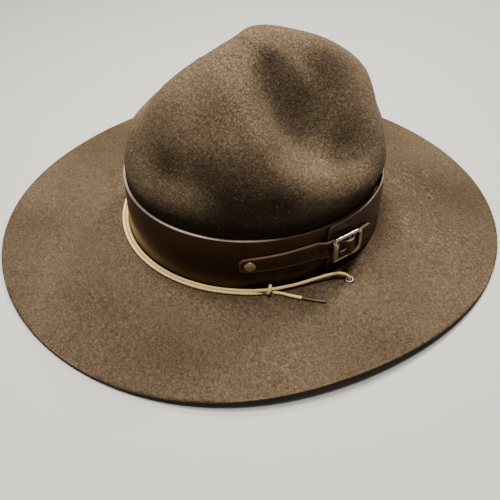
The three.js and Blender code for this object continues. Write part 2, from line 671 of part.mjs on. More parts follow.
// A leather fold round the middle bar, slotted for the prong, with both its ends on the band under
// the strap.
function buckleKeeper() {
  const inner = MIDDLE_BAR_RADIUS + CLEARANCE;
  const outer = inner + KEEPER_THICKNESS;
  const low = LAP_FACE + CLEARANCE;
  const high = low + KEEPER_THICKNESS + CLEARANCE;
  const outside = [];
  const inside = [];
  for (const along of [KEEPER_LENGTH, 16, 10, 4.4]) {
    outside.push([along, low]);
    inside.push([along, low + KEEPER_THICKNESS]);
  }
  for (const turn of [-90, -130, -170, 150, 110, 80, 50]) {
    const angle = THREE.MathUtils.degToRad(turn);
    outside.push([outer * Math.cos(angle), MIDDLE_BAR_LIFT + outer * Math.sin(angle)]);
    inside.push([inner * Math.cos(angle), MIDDLE_BAR_LIFT + inner * Math.sin(angle)]);
  }
  for (const along of [4.6, KEEPER_RETURN]) {
    outside.push([along, high + KEEPER_THICKNESS]);
    inside.push([along, high]);
  }
  const rings = outside.map(([along, lift], i) => {
    const [innerAlong, innerLift] = inside[i];
    return [
      byBuckle(innerAlong, innerLift, -KEEPER_HALF_WIDTH),
      byBuckle(along, lift, -KEEPER_HALF_WIDTH),
      byBuckle(along, lift, KEEPER_HALF_WIDTH),
      byBuckle(innerAlong, innerLift, KEEPER_HALF_WIDTH),
    ];
  });
  const fold = toManifold(skin(rings));
  const slot = prongRod(PRONG_RADIUS + CLEARANCE + 0.1, [70, 32, ...PRONG_TURNS]);
  return fromManifold(fold.subtract(toManifold(slot)));
}

// A turned solid: pairs of radius and rise round an axis, all the way round.
function turned(centre, axis, profile, sides) {
  const across = new THREE.Vector3(0, 0, 1).cross(axis);
  if (across.length() < 0.1) {
    across.set(1, 0, 0);
  }
  across.normalize();
  const other = axis.clone().cross(across);
  const rings = profile.map(([radius, rise]) => ringAround(sides, (turn) => centre.clone()
    .addScaledVector(across, radius * Math.cos(turn))
    .addScaledVector(other, radius * Math.sin(turn))
    .addScaledVector(axis, rise)));
  return rings;
}

// The same with a hole through it: the last ring joins the first.
function turnedRing(centre, axis, profile, sides) {
  const rings = turned(centre, axis, profile, sides);
  const positions = rings.flat().flatMap((point) => [point.x, point.y, point.z]);
  const faces = [];
  for (let i = 0; i < rings.length; i += 1) {
    const next = ((i + 1) % rings.length) * sides;
    for (let j = 0; j < sides; j += 1) {
      const here = i * sides + j;
      const beside = i * sides + ((j + 1) % sides);
      const opposite = next + ((j + 1) % sides);
      faces.push(here, next + j, opposite, here, opposite, beside);
    }
  }
  const geometry = new THREE.BufferGeometry();
  geometry.setAttribute('position', new THREE.Float32BufferAttribute(positions, 3));
  geometry.setIndex(faces);
  return geometry;
}

// The rivet's place on the strap's face and the way it points, square to the sloping band.
function rivetPlace() {
  const foot = BAND_FACE + 2 * CLEARANCE + STRAP_THICKNESS;
  const centre = besideWall(RIVET.angle, foot, RIVET.height);
  const ahead = besideWall(RIVET.angle + 1, foot, RIVET.height);
  const round = ahead.sub(besideWall(RIVET.angle - 1, foot, RIVET.height));
  const up = besideWall(RIVET.angle, foot, RIVET.height + 1).sub(centre);
  return { centre, axis: round.cross(up).normalize() };
}

// The post through strap and band, of any radius, reaching a given way past its ends.
function rivetPost(radius, past) {
  const { centre, axis } = rivetPlace();
  const length = BAND_THICKNESS + CLEARANCE + STRAP_THICKNESS;
  const ends = [past, -length - past].map((rise) => centre.clone().addScaledVector(axis, rise));
  return rod(ends, radius, 10);
}

// A low domed disc on the strap, with a post through strap and band.
function strapRivet() {
  const { centre, axis } = rivetPlace();
  const profile = [
    [RIVET.radius * 0.55, RIVET.rise],
    [RIVET.radius * 0.88, RIVET.rise * 0.8],
    [RIVET.radius, RIVET.rise * 0.35],
    [RIVET.radius, 0],
  ];
  const head = toManifold(skin(turned(centre, axis, profile, 18)));
  return fromManifold(head.add(toManifold(rivetPost(RIVET.postRadius, 0.2))));
}

// A metal eyelet: a barrel through the brim with a flange on each face.
function eyelet(angle) {
  const centre = besideWall(angle, EYELET.offset, -FELT_WALL / 2);
  const face = FELT_WALL / 2 + CLEARANCE;
  const top = face + EYELET.flange;
  const profile = [
    [EYELET.innerRadius, top],
    [EYELET.outerRadius - 0.5, top],
    [EYELET.outerRadius, face],
    [EYELET.outerBarrel, face],
    [EYELET.outerBarrel, -face],
    [EYELET.outerRadius, -face],
    [EYELET.outerRadius - 0.5, -top],
    [EYELET.innerRadius, -top],
  ];
  return turnedRing(centre, new THREE.Vector3(0, 0, 1), profile, 12);
}

function across(rows) {
  return rows.map((row) => ({ ...row, angle: -180 - row.angle }));
}

// The turn of a cord's end round the other strand, from the front of the wrap to its rear.
function wrapRows() {
  const rows = [];
  for (let i = 0; i <= WRAP_STEPS; i += 1) {
    const turn = -Math.PI / 2 + (2 * Math.PI * i) / WRAP_STEPS;
    rows.push({
      angle: mix(WRAP_FRONT, WRAP_REAR, i / WRAP_STEPS),
      offset: OUTER_TRACK + CORD_PITCH * Math.cos(turn),
      height: CORD_REST + CORD_PITCH * (1 + Math.sin(turn)),
    });
  }
  return rows;
}

// The two strands round the front, from the left wrap to the right one. At one wrap a strand lies
// under the other and goes round it, and at the other wrap it runs straight through.
function frontStrands() {
  const outer = [];
  const inner = [];
  const from = WRAP_FRONT - 1.6;
  const to = -180 - from;
  const steps = Math.round((from - to) / STRAND_STEP);
  for (let i = 0; i <= steps; i += 1) {
    const angle = mix(from, to, i / steps);
    const left = THREE.MathUtils.smoothstep(from - angle, 0, PARTING_ANGLE) * (Math.PI / 2);
    const right = THREE.MathUtils.smoothstep(angle - to, 0, PARTING_ANGLE) * (Math.PI / 2);
    outer.push({ angle, offset: OUTER_TRACK, height: CORD_REST + CORD_PITCH * Math.cos(right) });
    inner.push({
      angle,
      offset: OUTER_TRACK - CORD_PITCH * Math.sin(left) * Math.sin(right),
      height: CORD_REST + CORD_PITCH * Math.cos(left),
    });
  }
  return { outer, inner };
}

// One cord, from the left end round both wraps, both eyelets and the rear to the right end.
function chinCord() {
  const { outer, inner } = frontStrands();
  const wrap = wrapRows();
  const wrapMiddle = (WRAP_FRONT + WRAP_REAR) / 2;
  const through = { angle: wrapMiddle, offset: OUTER_TRACK, height: CORD_REST + CORD_PITCH };
  const side = [through, ...CORD_ARCH, ...CORD_BELOW];
  const rear = { angle: 90, offset: 7.6, height: -6.9 };
  const farSide = side.map((row) => ({ ...row, angle: -180 - row.angle }));
  const underRear = [...side].reverse();
  const rows = [
    ...[...CORD_TAIL].reverse(),
    ...[...wrap].reverse(),
    ...outer,
    ...farSide,
    { ...rear, angle: -270 },
    ...underRear.map((row) => ({ ...row, angle: row.angle - 360 })),
    ...inner.map((row) => ({ ...row, angle: row.angle - 360 })),
    ...across(wrap),
    ...across(CORD_TAIL),
  ];
  return cordAlong(rows, CORD_RADIUS);
}

function cordAlong(rows, radius) {
  const points = rows.map((row) => besideWall(row.angle, row.offset, row.height));
  return rod(points, radius, CORD_SIDES);
}

function cordTip(rows) {
  return cordAlong(rows, CORD_TIP_RADIUS);
}

function named(name, geometry, colour, roughness, metalness) {
  const material = new THREE.MeshStandardMaterial({ color: colour, roughness, metalness });
  const mesh = new THREE.Mesh(geometry, material);
  mesh.name = name;
  return mesh;
}

const group = new THREE.Group();
group.name = 'campaign_hat';
group.add(named('felt_body', feltBody(), FELT_COLOUR, 0.95, 0));
group.add(named('hat_band', band(), BAND_COLOUR, 0.45, 0));
group.add(named('strap', strap(), STRAP_COLOUR, 0.45, 0));
group.add(named('buckle_frame', buckleFrame(), NICKEL_COLOUR, 0.3, 1));
group.add(named('buckle_roller', buckleRoller(), NICKEL_COLOUR, 0.3, 1));
group.add(named('buckle_prong', buckleProng(), NICKEL_COLOUR, 0.3, 1));
group.add(named('buckle_keeper', buckleKeeper(), STRAP_COLOUR, 0.5, 0));
group.add(named('strap_rivet', strapRivet(), BRASS_COLOUR, 0.45, 0.9));
group.add(named('eyelet_left', eyelet(EYELET.angle), NICKEL_COLOUR, 0.3, 1));
group.add(named('eyelet_right', eyelet(180 - EYELET.angle), NICKEL_COLOUR, 0.3, 1));
group.add(named('chin_cord', chinCord(), CORD_COLOUR, 0.8, 0));
group.add(named('cord_tip_left', cordTip(CORD_TIP), TIP_COLOUR, 0.5, 0));
group.add(named('cord_tip_right', cordTip(across(CORD_TIP)), TIP_COLOUR, 0.5, 0));

// The origin is under the middle of the hat, on the surface that it rests on.
const box = new THREE.Box3().setFromObject(group);
const middle = box.getCenter(new THREE.Vector3());
for (const mesh of group.children) {
  mesh.geometry.translate(-middle.x, -middle.y, -box.min.z);
}

export default group;
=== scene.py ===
# A campaign hat at rest on a level floor. Shapes are worked out in millimetres in the hat's own
# frame and written in metres. The wearer's left is +X, the front is -Y, and up is +Z. Round the
# hat, an angle of 0 is the wearer's left and 90 degrees is the rear.
import math
import bpy
import numpy as np
from mathutils import Euler, Matrix, Vector


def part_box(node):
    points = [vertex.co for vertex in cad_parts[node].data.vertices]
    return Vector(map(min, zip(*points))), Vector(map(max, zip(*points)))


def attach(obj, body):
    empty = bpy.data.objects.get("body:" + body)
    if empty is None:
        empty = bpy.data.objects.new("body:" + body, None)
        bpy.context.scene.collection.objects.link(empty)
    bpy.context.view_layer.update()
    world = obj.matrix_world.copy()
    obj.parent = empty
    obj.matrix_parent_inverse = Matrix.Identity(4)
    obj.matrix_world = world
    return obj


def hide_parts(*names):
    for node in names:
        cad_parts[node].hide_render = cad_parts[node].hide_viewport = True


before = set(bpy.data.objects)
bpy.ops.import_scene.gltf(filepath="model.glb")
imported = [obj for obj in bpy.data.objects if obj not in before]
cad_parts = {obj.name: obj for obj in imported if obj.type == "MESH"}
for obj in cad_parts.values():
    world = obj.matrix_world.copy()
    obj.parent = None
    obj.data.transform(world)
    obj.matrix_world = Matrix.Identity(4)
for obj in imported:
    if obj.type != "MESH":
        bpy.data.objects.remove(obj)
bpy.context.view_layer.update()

# Felt body
FELT_WALL = 2.2
BRIM_TOP = 8.1
CROWN_HALF_WIDTH = 91.6
CROWN_HALF_LENGTH = 100.2
MEAN_RADIUS = 95.0
FOOT_FILLET = 0.8
CAD_RING_POINTS = 64

# Rows of points on the felt, from the peak over the brim's edge to the inside of the peak, and the
# shares of the profile and of the brim where they start or end
FELT_AROUND = 384
CROWN_ROWS = 150
BANDED_ROWS = 10
BRIM_ROWS = 44
UNDERSIDE_ROWS = 16
BANDED_INSIDE_ROWS = 4
INSIDE_ROWS = 22
PEAK_SHARE = 0.997
INSIDE_PEAK_SHARE = 0.99
BRIM_EDGE_SHARE = 0.994
CROWN_FOOT_HEIGHT = 1.4
INSIDE_CORNER_SHARE = 0.72

# The open crown before it is dented: height above the brim, share of the head oval, and how far
# the section sits back. The last row is past the apex, so that the top comes out round.
CROWN_SECTIONS = [
    (0, 1, 0),
    (22, 0.984, 0),
    (45, 0.967, 0),
    (54, 0.981, 1.6),
    (64, 0.952, 1.5),
    (75, 0.929, 1.1),
    (87, 0.875, 0.8),
    (98, 0.82, 3.1),
    (108, 0.745, 5.5),
    (117, 0.629, 6.5),
    (125, 0.482, 7),
    (132, 0.313, 6.9),
    (137, 0.177, 5.5),
    (140, 0.096, 3.9),
    (140.8, 0, 8),
    (140, -0.096, 8),
]
APEX_ROW = len(CROWN_SECTIONS) - 2
BAND_TOP_ROW = 2

# One dent of the peak on each quarter. Columns: height, angle of the floor, depth, how steeply the
# front and the rear side rise, and how round the floor is.
REAR_LEFT_DENT = [
    (60, 28.3, 1.5, 0.18, 0.25, 14.5),
    (72, 32.8, 9, 0.2, 0.34, 12.8),
    (82, 25.8, 15.5, 0.4, 0.38, 16.1),
    (94, 12.8, 25.5, 0.95, 0.36, 12.5),
    (106, 8.6, 29.3, 1.12, 0.37, 13.4),
    (117, 7.4, 28.9, 1.18, 0.45, 14.9),
    (126, 6.5, 22.3, 1.19, 0.59, 16.1),
    (134, 3.5, 7.3, 1.12, 0.62, 12.9),
    (141, 5.4, -9.4, 1.04, 0.5, 3.5),
]
FRONT_LEFT_DENT = [
    (54, -67.1, 4, 0.32, 0.36, 14.2),
    (63, -67.9, 2.1, 0.19, 0.2, 15.2),
    (72, -62, 6.4, 0.13, 0.24, 14.7),
    (82, -59.5, 8.2, 0.1, 0.29, 14.8),
    (93, -62, 7.1, 0.1, 0.21, 15.2),
    (105, -56.9, 6.9, 0.15, 0.27, 16.1),
    (120, -60.8, 5, 0.33, 0.33, 13.1),
    (141, -71.4, -11.5, 0.53, 0.49, 4.7),
]
FRONT_RIGHT_DENT = [
    (58, -133.3, -9.1, 0.25, 0.25, 16),
    (72, -127.6, -2, 0.25, 0.25, 16),
    (86, -131.1, 9.8, 0.25, 0.25, 16),
    (100, -135.5, 12.2, 0.25, 0.25, 16),
    (114, -137, 12.1, 0.25, 0.25, 14),
    (128, -143.4, 7.8, 0.25, 0.25, 12),
    (141, -117.8, -4, 0.4, 0.4, 5),
]
REAR_RIGHT_DENT = [(h, 180 - a, d, r, f, w) for h, a, d, f, r, w in REAR_LEFT_DENT]
DENTS = [REAR_LEFT_DENT, FRONT_LEFT_DENT, FRONT_RIGHT_DENT, REAR_RIGHT_DENT]
DENT_SOFTNESS = 2.0
DENT_FADE_HEIGHT = 14.0
DENT_SIDE_BLEND = 10.0
LEAST_RADIUS = 6.0

# Soft ridges and hollows between the dents. Columns: angle, share of the profile, how far its length
# is turned from level, half its length and width, and how far it stands out.
SMALL_FOLDS = [
    (30.7, 0.847, -75, 9.2, 5.7, 1.1), (42.7, 0.865, -83, 22.6, 10.7, -4.7),
    (-11.5, 0.72, -73, 31.4, 7, -3.1), (34.4, 0.461, -38, 20.7, 9.3, -0.8),
    (51, 0.529, -71, 17.8, 9.9, 1.1), (24.8, 0.404, -21, 28.5, 6.6, -2.4),
    (-50.6, 0.471, -3, 20.5, 10.1, -1.2), (-53.5, 0.358, 34, 22.8, 9.9, -1),
    (10.8, 0.819, -42, 11.5, 9.2, -1.1), (18.6, 0.656, -69, 23.7, 8.3, 0.4),
    (-48.8, 0.705, -41, 17.4, 9.4, 1.5), (-16.5, 0.513, -52, 19.4, 6.6, -1.1),
    (-28.3, 0.343, 17, 21, 10.9, 3), (-63.2, 0.636, -6, 11.3, 12.2, 0.3),
]

# Fine creases pressed into the felt. Columns: angle and share of the profile where each starts and
# ends, depth and half width.
FINE_CREASES = [
    (-74.5, 0.832, -64.5, 0.848, 0.5, 0.9),
    (-64.5, 0.848, -50.5, 0.85, 0.6, 0.9),
    (-50.5, 0.85, -38.0, 0.848, 0.4, 0.9),
    (-66.5, 0.826, -58.5, 0.83, 0.3, 0.8),
    (-88.5, 0.912, -67.5, 0.935, 0.4, 0.8),
    (-63.5, 0.904, -50.5, 0.898, 0.3, 0.8),
    (-32.5, 0.838, -26.5, 0.828, 0.6, 0.8),
    (-28.5, 0.892, -22.0, 0.88, 0.5, 0.8),
    (-22.0, 0.78, -18.0, 0.784, 0.5, 0.8),
    (44.0, 0.501, 47.5, 0.508, -0.12, 0.7),
    (49.5, 0.485, 53.5, 0.483, -0.12, 0.7),
    (36.5, 0.526, 43.0, 0.516, 0.12, 0.8),
    (38.5, 0.489, 45.0, 0.477, 0.12, 0.8),
]
CREASE_LIP = 0.35
CREASE_LIP_PLACE = 1.9

# Paths through points: how their keys grow with distance, steps for each point, the usual distance
# between the points they return, and how little is left of a rod's section at its rounded end
PATH_KEY_POWER = 0.75
PATH_FINENESS = 40
PATH_SPACING = 0.5
ROD_END_SHARE = 0.02

# Lighter and darker places on the felt, many of them painted light and shade, and rubbed ones. Columns: x,
# y, z, radius and strength.
# On the crown, the dark spots are painted shade and the light spots are painted light. The dark spots on
# the brim just beside the band and cord are painted shade; the broad spots on the brim make parts of it
# lighter or darker.
FELT_TONES_AND_PAINTED_SHADING = [
    (120, -90, 6, 50, -0.12), (60, 150, 6, 60, -0.2), (-60, -150, 6, 50, 0.12),
    (140, 35, 6, 30, 0.15), (62, -129, 7, 30, -0.2), (122, 2, 7, 16, -0.25),
    (154, -26, 7, 24, 0.25), (-76, -125, 7, 30, -0.2), (11, 155, 7, 30, -0.2),
    (108, -5, 8, 14, -0.35), (104, -45, 8, 14, -0.2), (79, -34, 85, 24, -1.25),
    (76, -50, 75, 14, -0.5), (86, -10, 77, 15, -1.0), (66, 18, 88, 13, 0.35),
    (57, -54, 93, 14, -0.45), (57, 24, 87, 13, 0.8), (57, 2, 96, 12, 0.55), (47, -9, 113, 13, 0.4),
    (68, 50, 75, 13, 0.65), (17, 44, 130, 17, -0.7), (17, 3, 140, 12, -0.7),
    (29, -55, 113, 15, 0.3), (30, -89, 67, 15, 0.8), (49, -75, 70, 12, 0.4),
    (33, -73, 87, 12, -0.5), (37, 43, 108, 13, 0.25),
]
FELT_SCUFFS = [
    (20, 137, 7, 30, 0.8), (75, 112, 7, 20, 0.9), (110, 120, 6, 34, 0.6), (135, -40, 6, 40, 0.35),
    (85, -140, 6, 34, 0.4),
]

# Slow unevenness of the felt's surface and of its tone. Columns: seed, width and strength.
FELT_BUMPS = [(5, 14, 0.12), (6, 42, 0.2)]
FELT_CLOUDS = [(11, 60, 0.3)]
NOISE_OCTAVES = 3
NOISE_WAVES = 7
NOISE_STRETCH = 2.2
NOISE_EVENING = 2.6

# Where the felt's marks begin and end: distances from the middle, and heights above the band
CROWN_REACH = 112.0
BRIM_START = (116.0, 124.0)
BUMP_FADE = 6.0
# Painted shade on the crown's wall just above the band: the heights over which it fades, how far its
# strongest place is turned round the hat, where it grows round the hat, and how much of it is left
# elsewhere.
WALL_SHADE_FADE = (6.0, 34.0)
WALL_SHADE_TURN = 0.3
WALL_SHADE_SIDES = (0.1, 0.8)
LEAST_WALL_SHADE = 0.4
# Painted shade in the dents: how much darker the felt gets for each millimetre of a dent's depth, and the
# darkest and lightest it goes.
SHADE_BY_DENT_DEPTH = 0.054
DENT_SHADE_RANGE = (-0.65, 0.3)
CUT_EDGE_DARKNESS = 0.8
CUT_EDGE_ROWS = 6

# Loose fibres: how many, their sizes from and to, and the larger specks that the photo shows
LINT_COUNT = 3600
LINT_LENGTHS = (0.5, 2.0)
LINT_RADII = (0.04, 0.09)
LONG_LINT_SHARE = 0.06
LINT_SHIFT = 0.6
LINT_BEND = 0.35
LINT_LIFT = 0.25
LINT_GAP = 0.05
LINT_SEED = 23
COVERED_REACH = 118
LOW_WALL_HEIGHT = 26
LOW_WALL_SHARE = 0.12
FIBRE_RINGS = 4
LINT_FREE_ROWS = 3
SPECK_SIZE = (1.5, 0.42)
LINT_SPECKS = [
    (1.0, -96.5, 84), (-6.0, -70.0, 126), (83.4, -171.0, 7), (115.7, -77.9, 7), (70.8, 76.0, 8),
    (64.5, 94.7, 8), (84.6, 133.5, 7), (13.8, 163.0, 7),
]

# Brim waves: count, cosine part, sine part
BRIM_WIDTH = 91.4
BRIM_WIDTH_WAVES = [(1, -0.5, -0.8), (2, -8.2, 1.7), (3, -0.2, 0.9), (4, -0.9, -1.9)]
BRIM_EDGE_DROP = 3.5
BRIM_EDGE_WAVES = [(2, 3.2, 0), (4, 1.2, 0)]
BRIM_FLAT_SHARE = 0.16
BRIM_CURL = 1.5
EDGE_BEVEL = 0.5

# Leather band
CLEARANCE = 0.3
EASE = 0.1
BAND_THICKNESS = 2.0
BAND_FOOT = 1.5
BAND_HEIGHT = 45.0
BAND_GAP = 0.4
BAND_FACE = BAND_GAP + BAND_THICKNESS
LAP_INNER_END = 46.0
LAP_OUTER_END = 11.0
LAP_RAMP = 22.0
LAP_RAMP_END = 358.0
LAP_CORNER = 3.0
BAND_STEPS = 420
BAND_BEVEL = 0.6
CORNER_STEPS = 4
RIM_DEPTH = 0.3
END_DEPTH = 0.4

# How pale the band's cut edge is, by angle round the hat: the raw edge's own paleness with a painted
# highlight, brightest on the front-left. Columns: angle round the hat, share.
BAND_EDGE_PALENESS_AND_HIGHLIGHT = [
    (-180, 0.5), (-108, 0.5), (-90, 0.38), (-76, 0.2), (-62, 0.25), (-50, 0.7), (-40, 1.0),
    (-28, 0.8), (-18, 0.4), (-8, 0.05), (46, 0.04), (75, 0.5), (180, 0.5),
]

# Strap. Columns: angle, height of its middle line, half its width, and lift off the band.
STRAP_THICKNESS = 1.6
STRAP_ROWS = [
    (-24.4, 24.4, 5.0, 0),
    (-20, 25.2, 6.0, 0),
    (-14, 26.1, 6.4, 0),
    (0, 27.7, 6.9, 0),
    (6, 27.9, 6.9, 0.1),
    (9.6, 27.8, 6.8, 2.5),
    (12.6, 27.4, 6.7, 2.5),
    (18.4, 26.6, 6.6, 7.9),
    (24.6, 25.6, 6.5, 3.9),
    (28, 24.9, 6.4, 3.9),
    (34.2, 23.4, 5.8, 3.9),
]
STRAP_STEPS = 300
STRAP_BEVEL = 0.45
STRAP_START_LENGTH = 2.0
STRAP_POINT_LENGTH = 4.5
STRAP_POINT_INSET = 3.4
STRAP_HOLE_RADIUS = 1.1
STRAP_HOLES = [3.8, 7.6]
STRAP_HOLE_REACH = (1, 4, 8)
CUTTER_SIDES = 24
SHARP_ANGLE = 50

# The line pressed beside each of the strap's edges. Columns: distance from the edge, depth, and share of
# the lighter edge colour.
STRAP_LINE = [(0.9, 0, 0.55), (1.2, 0, 0.55), (1.5, 0.22, 0.0), (1.8, 0, 0.0), (2.4, 0, 0.0)]
STRAP_MIDDLE = [-0.6, -0.2, 0.2, 0.6]
KEEPER_BEVEL = 0.15

# Buckle. Lifts are distances out from the felt, and the prong's reach is in pairs along and out.
BUCKLE_ANGLE = 18.6
BUCKLE_HALF = 10.7
BUCKLE_RAIL = 9.5
BUCKLE_CORNER = 4.0
BUCKLE_WIRE_RADIUS = 1.1
WIRE_SIDES = 20
WIRE_SPACING = 0.35
WIRE_END = 0.8
RAIL_PLACES = [-11.6, -7.7, -3.7, 0, 4]
BAR_SIDES = 16
BAR_POINTS = 9
ROLLER_SIDES = 40
REAR_BAR_SWELL = 0.22
REAR_BAR_REACH = (3, 7)
ROLLER_BAR_RADIUS = 0.8
ROLLER_RADIUS = 2.1
ROLLER_HALF_LENGTH = 6.9
ROLLER_BEVEL = 0.3
ROLLER_INNER_BEVEL = 0.15
ROLLER_LIFT = 9.4
FAR_BAR_LIFT = 9.7
RAIL_BOW = -0.5
MIDDLE_BAR_RADIUS = 0.9
MIDDLE_BAR_LIFT = 7.9
MIDDLE_BAR_HALF_LENGTH = 6.8
PRONG_RADIUS = 0.8
PRONG_SPACING = 0.3
PRONG_END = 0.7
PRONG_TAPER = 0.3
PRONG_TAPER_START = 0.6
PRONG_TURNS = [-5, -50, -95, -140, 180]
PRONG_HOLE_TURNS = [70, 32]
PRONG_REACH = [(-2.7, 9.4), (-4.3, 10.8), (-6.4, 11.5), (-8.3, 11.55)]
ANGLE_PER_MM = 0.573

# Rivet. Columns of its profile: radius and rise, over the dome and the rim and down the post.
RIVET_ANGLE = -20.4
RIVET_HEIGHT = 25.2
RIVET_SIDES = 64
RIVET_PROFILE = [
    (0.02, 1.2), (1.4, 1.17), (2.5, 1.08), (3.15, 0.96), (3.58, 0.8), (3.82, 0.55),
    (3.9, 0.3), (3.85, 0.08), (3.7, 0.0), (1.2, 0.0), (1.2, -3.8), (0.02, -3.8),
]

# Eyelets and cord. Columns of the flange: radius and rise. Columns of the cord's rows: angle, distance
# out from the felt, and height.
EYELET_ANGLE = 17.4
EYELET_OFFSET = 16.5
EYELET_SIDES = 48
EYELET_LIFT = 0.12
EYELET_FLANGE = [
    (1.72, 0.0), (1.75, 0.25), (1.95, 0.5), (2.3, 0.62), (2.7, 0.6), (3.1, 0.42),
    (3.7, 0.1), (3.6, 0.0), (2.3, 0.0),
]
CORD_RADIUS = 1.1
CORD_SIDES = 24
CORD_SPACING = 0.45
BRAID_STRANDS = 4
BRAID_PITCH = 3.2
BRAID_CROSSING = 0.55
BRAID_RELIEF = 0.14
CORD_PITCH = 2 * CORD_RADIUS + CLEARANCE
CORD_REST = CORD_RADIUS + CLEARANCE
OUTER_TRACK = BAND_FACE + 2 * CLEARANCE + CORD_RADIUS + CORD_PITCH
WRAP_STEPS = 10
WRAP_FRONT = -14.0
WRAP_REAR = -11.7
STRAND_START = WRAP_FRONT - 1.6
PARTING_ANGLE = 7.0
STRAND_STEP = 10.0
CORD_TAIL = [(-9.9, 8.2, CORD_REST), (-6.4, 11.7, CORD_REST), (-2.4, 16.4, CORD_REST)]
CORD_TIP = [(-2.2, 16.7, CORD_REST), (1.2, 21.1, 1.15), (4.4, 25.4, 1.15)]
CORD_TIP_RADIUS = 0.75
TIP_SIDES = 16
TIP_TAPER = 0.8
TIP_RIDGE = 0.03
TIP_RIDGE_PITCH = 1.1
CORD_ARCH = [
    (-9, 6.0, 3.6), (-4, 5.7, 3.2), (2, 6.0, 3.6), (7, 7.2, 4.6), (11.6, 9.4, 5.6), (15, 12.6, 5.6),
    (16.9, 15.5, 3.6), (17.4, 16.5, 0.6), (17.4, 16.5, -2.9),
]
CORD_BELOW = [
    (18.2, 16.3, -5.8), (21.4, 15.4, -6.9), (31, 12.4, -6.9), (43, 9.8, -6.9), (58, 8.0, -6.9),
    (74, 7.6, -6.9),
]
CORD_REAR = (-270, 7.6, -6.9)

# The photograph's camera in the hat's frame before it is centred: its place in millimetres, and how
# far it is turned from the hat's side and down from level in degrees
CAMERA_PLACE = (290.2, -109.1, 278.04)
CAMERA_YAW = 20.0
CAMERA_PITCH = 46.8
CAMERA_LENS = 35.31

# Three soft lamps, the strongest two on the wearer's right. Columns: name, direction round the hat and
# height in degrees, distance and width in metres, and power in watts.
LAMPS = [
    ("high_lamp", 187, 76, 0.7, 0.2, 11.5),
    ("rear_lamp", 126, 43, 1.5, 0.2, 26.0),
    ("top_lamp", 335, 82, 0.7, 0.15, 6.3),
]
LAMP_TARGET = Vector((0.0, 0.0, 0.1))
LAMP_COLOUR = (1.0, 0.97, 0.92)
SKY_COLOUR = (1.0, 0.97, 0.93)
SKY_STRENGTH = 0.1
FLOOR_HALF_WIDTH = 6.0


def natural_spline(xs, ys):
    """A natural cubic spline through the points, for numbers or arrays."""
    xs = np.asarray(xs, float)
    ys = np.asarray(ys, float)
    last = len(xs) - 1
    gaps = np.diff(xs)
    inner = gaps[1:-1]
    system = np.diag(2 * (gaps[1:] + gaps[:-1])) + np.diag(inner, 1) + np.diag(inner, -1)
    bend = np.zeros(last + 1)
    bend[1:-1] = np.linalg.solve(system, 6 * np.diff(np.diff(ys) / gaps))

    def at(x):
        x = np.asarray(x, float)
        i = np.clip(np.searchsorted(xs, x, side="left") - 1, 0, last - 1)
        width = xs[i + 1] - xs[i]
        a = (xs[i + 1] - x) / width
        b = (x - xs[i]) / width
        curve = (a**3 - a) * bend[i] + (b**3 - b) * bend[i + 1]
        return a * ys[i] + b * ys[i + 1] + curve * width * width / 6

    return at


def column(rows, index):
    return [row[index] for row in rows]


def smoothstep(x, low, high):
    share = np.clip((np.asarray(x, float) - low) / (high - low), 0, 1)
    return share * share * (3 - 2 * share)


def mix(start, end, share):
    return start + (end - start) * share


def full_turn(steps):
    """Angles evenly round a circle, in radians."""
    return 2 * np.pi * np.arange(steps) / steps


def run_along(points, power=1.0):
    """How far each point is along the points, with each step raised to a power."""
    steps = np.linalg.norm(np.diff(points, axis=0), axis=1) ** power
    return np.concatenate([[0], np.cumsum(steps)])


PROFILE_RUN = run_along([(height, scale * MEAN_RADIUS) for height, scale, _ in CROWN_SECTIONS])
PROFILE_LENGTH = PROFILE_RUN[APEX_ROW]
CROWN_KEYS = PROFILE_RUN / PROFILE_LENGTH
crown_height = natural_spline(CROWN_KEYS, column(CROWN_SECTIONS, 0))
crown_scale = natural_spline(CROWN_KEYS, column(CROWN_SECTIONS, 1))
crown_rearward = natural_spline(CROWN_KEYS, column(CROWN_SECTIONS, 2))
DENT_SHAPES = [
    [natural_spline(column(rows, 0), column(rows, i)) for i in range(1, 6)] + [rows[0][0], rows[-1][0]]
    for rows in DENTS
]


def way_round(angle, degrees, radius):
    """How far an angle in radians is from one in degrees, along the crown and the shorter way."""
    turn = angle - np.radians(degrees)
    return np.arctan2(np.sin(turn), np.cos(turn)) * np.maximum(radius, LEAST_RADIUS)


def dent_push(dent, angle, height, radius):
    floor, depth, front, rear, rounding, low, high = dent
    at = np.clip(height, low, high)
    away = way_round(angle, floor(at), radius)
    rear_share = 0.5 + 0.5 * np.tanh(away / DENT_SIDE_BLEND)
    slope = front(at) * (1 - rear_share) + rear(at) * rear_share
    fall = depth(at) - slope * (np.hypot(away, rounding(at)) - rounding(at))
    soft = DENT_SOFTNESS * np.log1p(np.exp(np.clip(fall / DENT_SOFTNESS, -40, 40)))
    return soft * smoothstep(height, low, low + DENT_FADE_HEIGHT)


def fold_rise(angle, share, radius):
    rise = 0.0
    for place, up_share, turn, length, width, height in SMALL_FOLDS:
        around = way_round(angle, place, radius)
        up = (share - up_share) * PROFILE_LENGTH
        tilt = math.radians(turn)
        along = around * math.cos(tilt) + up * math.sin(tilt)
        beside = up * math.cos(tilt) - around * math.sin(tilt)
        rise = rise + height * np.exp(-((along / length) ** 2) - (beside / width) ** 2)
    return rise


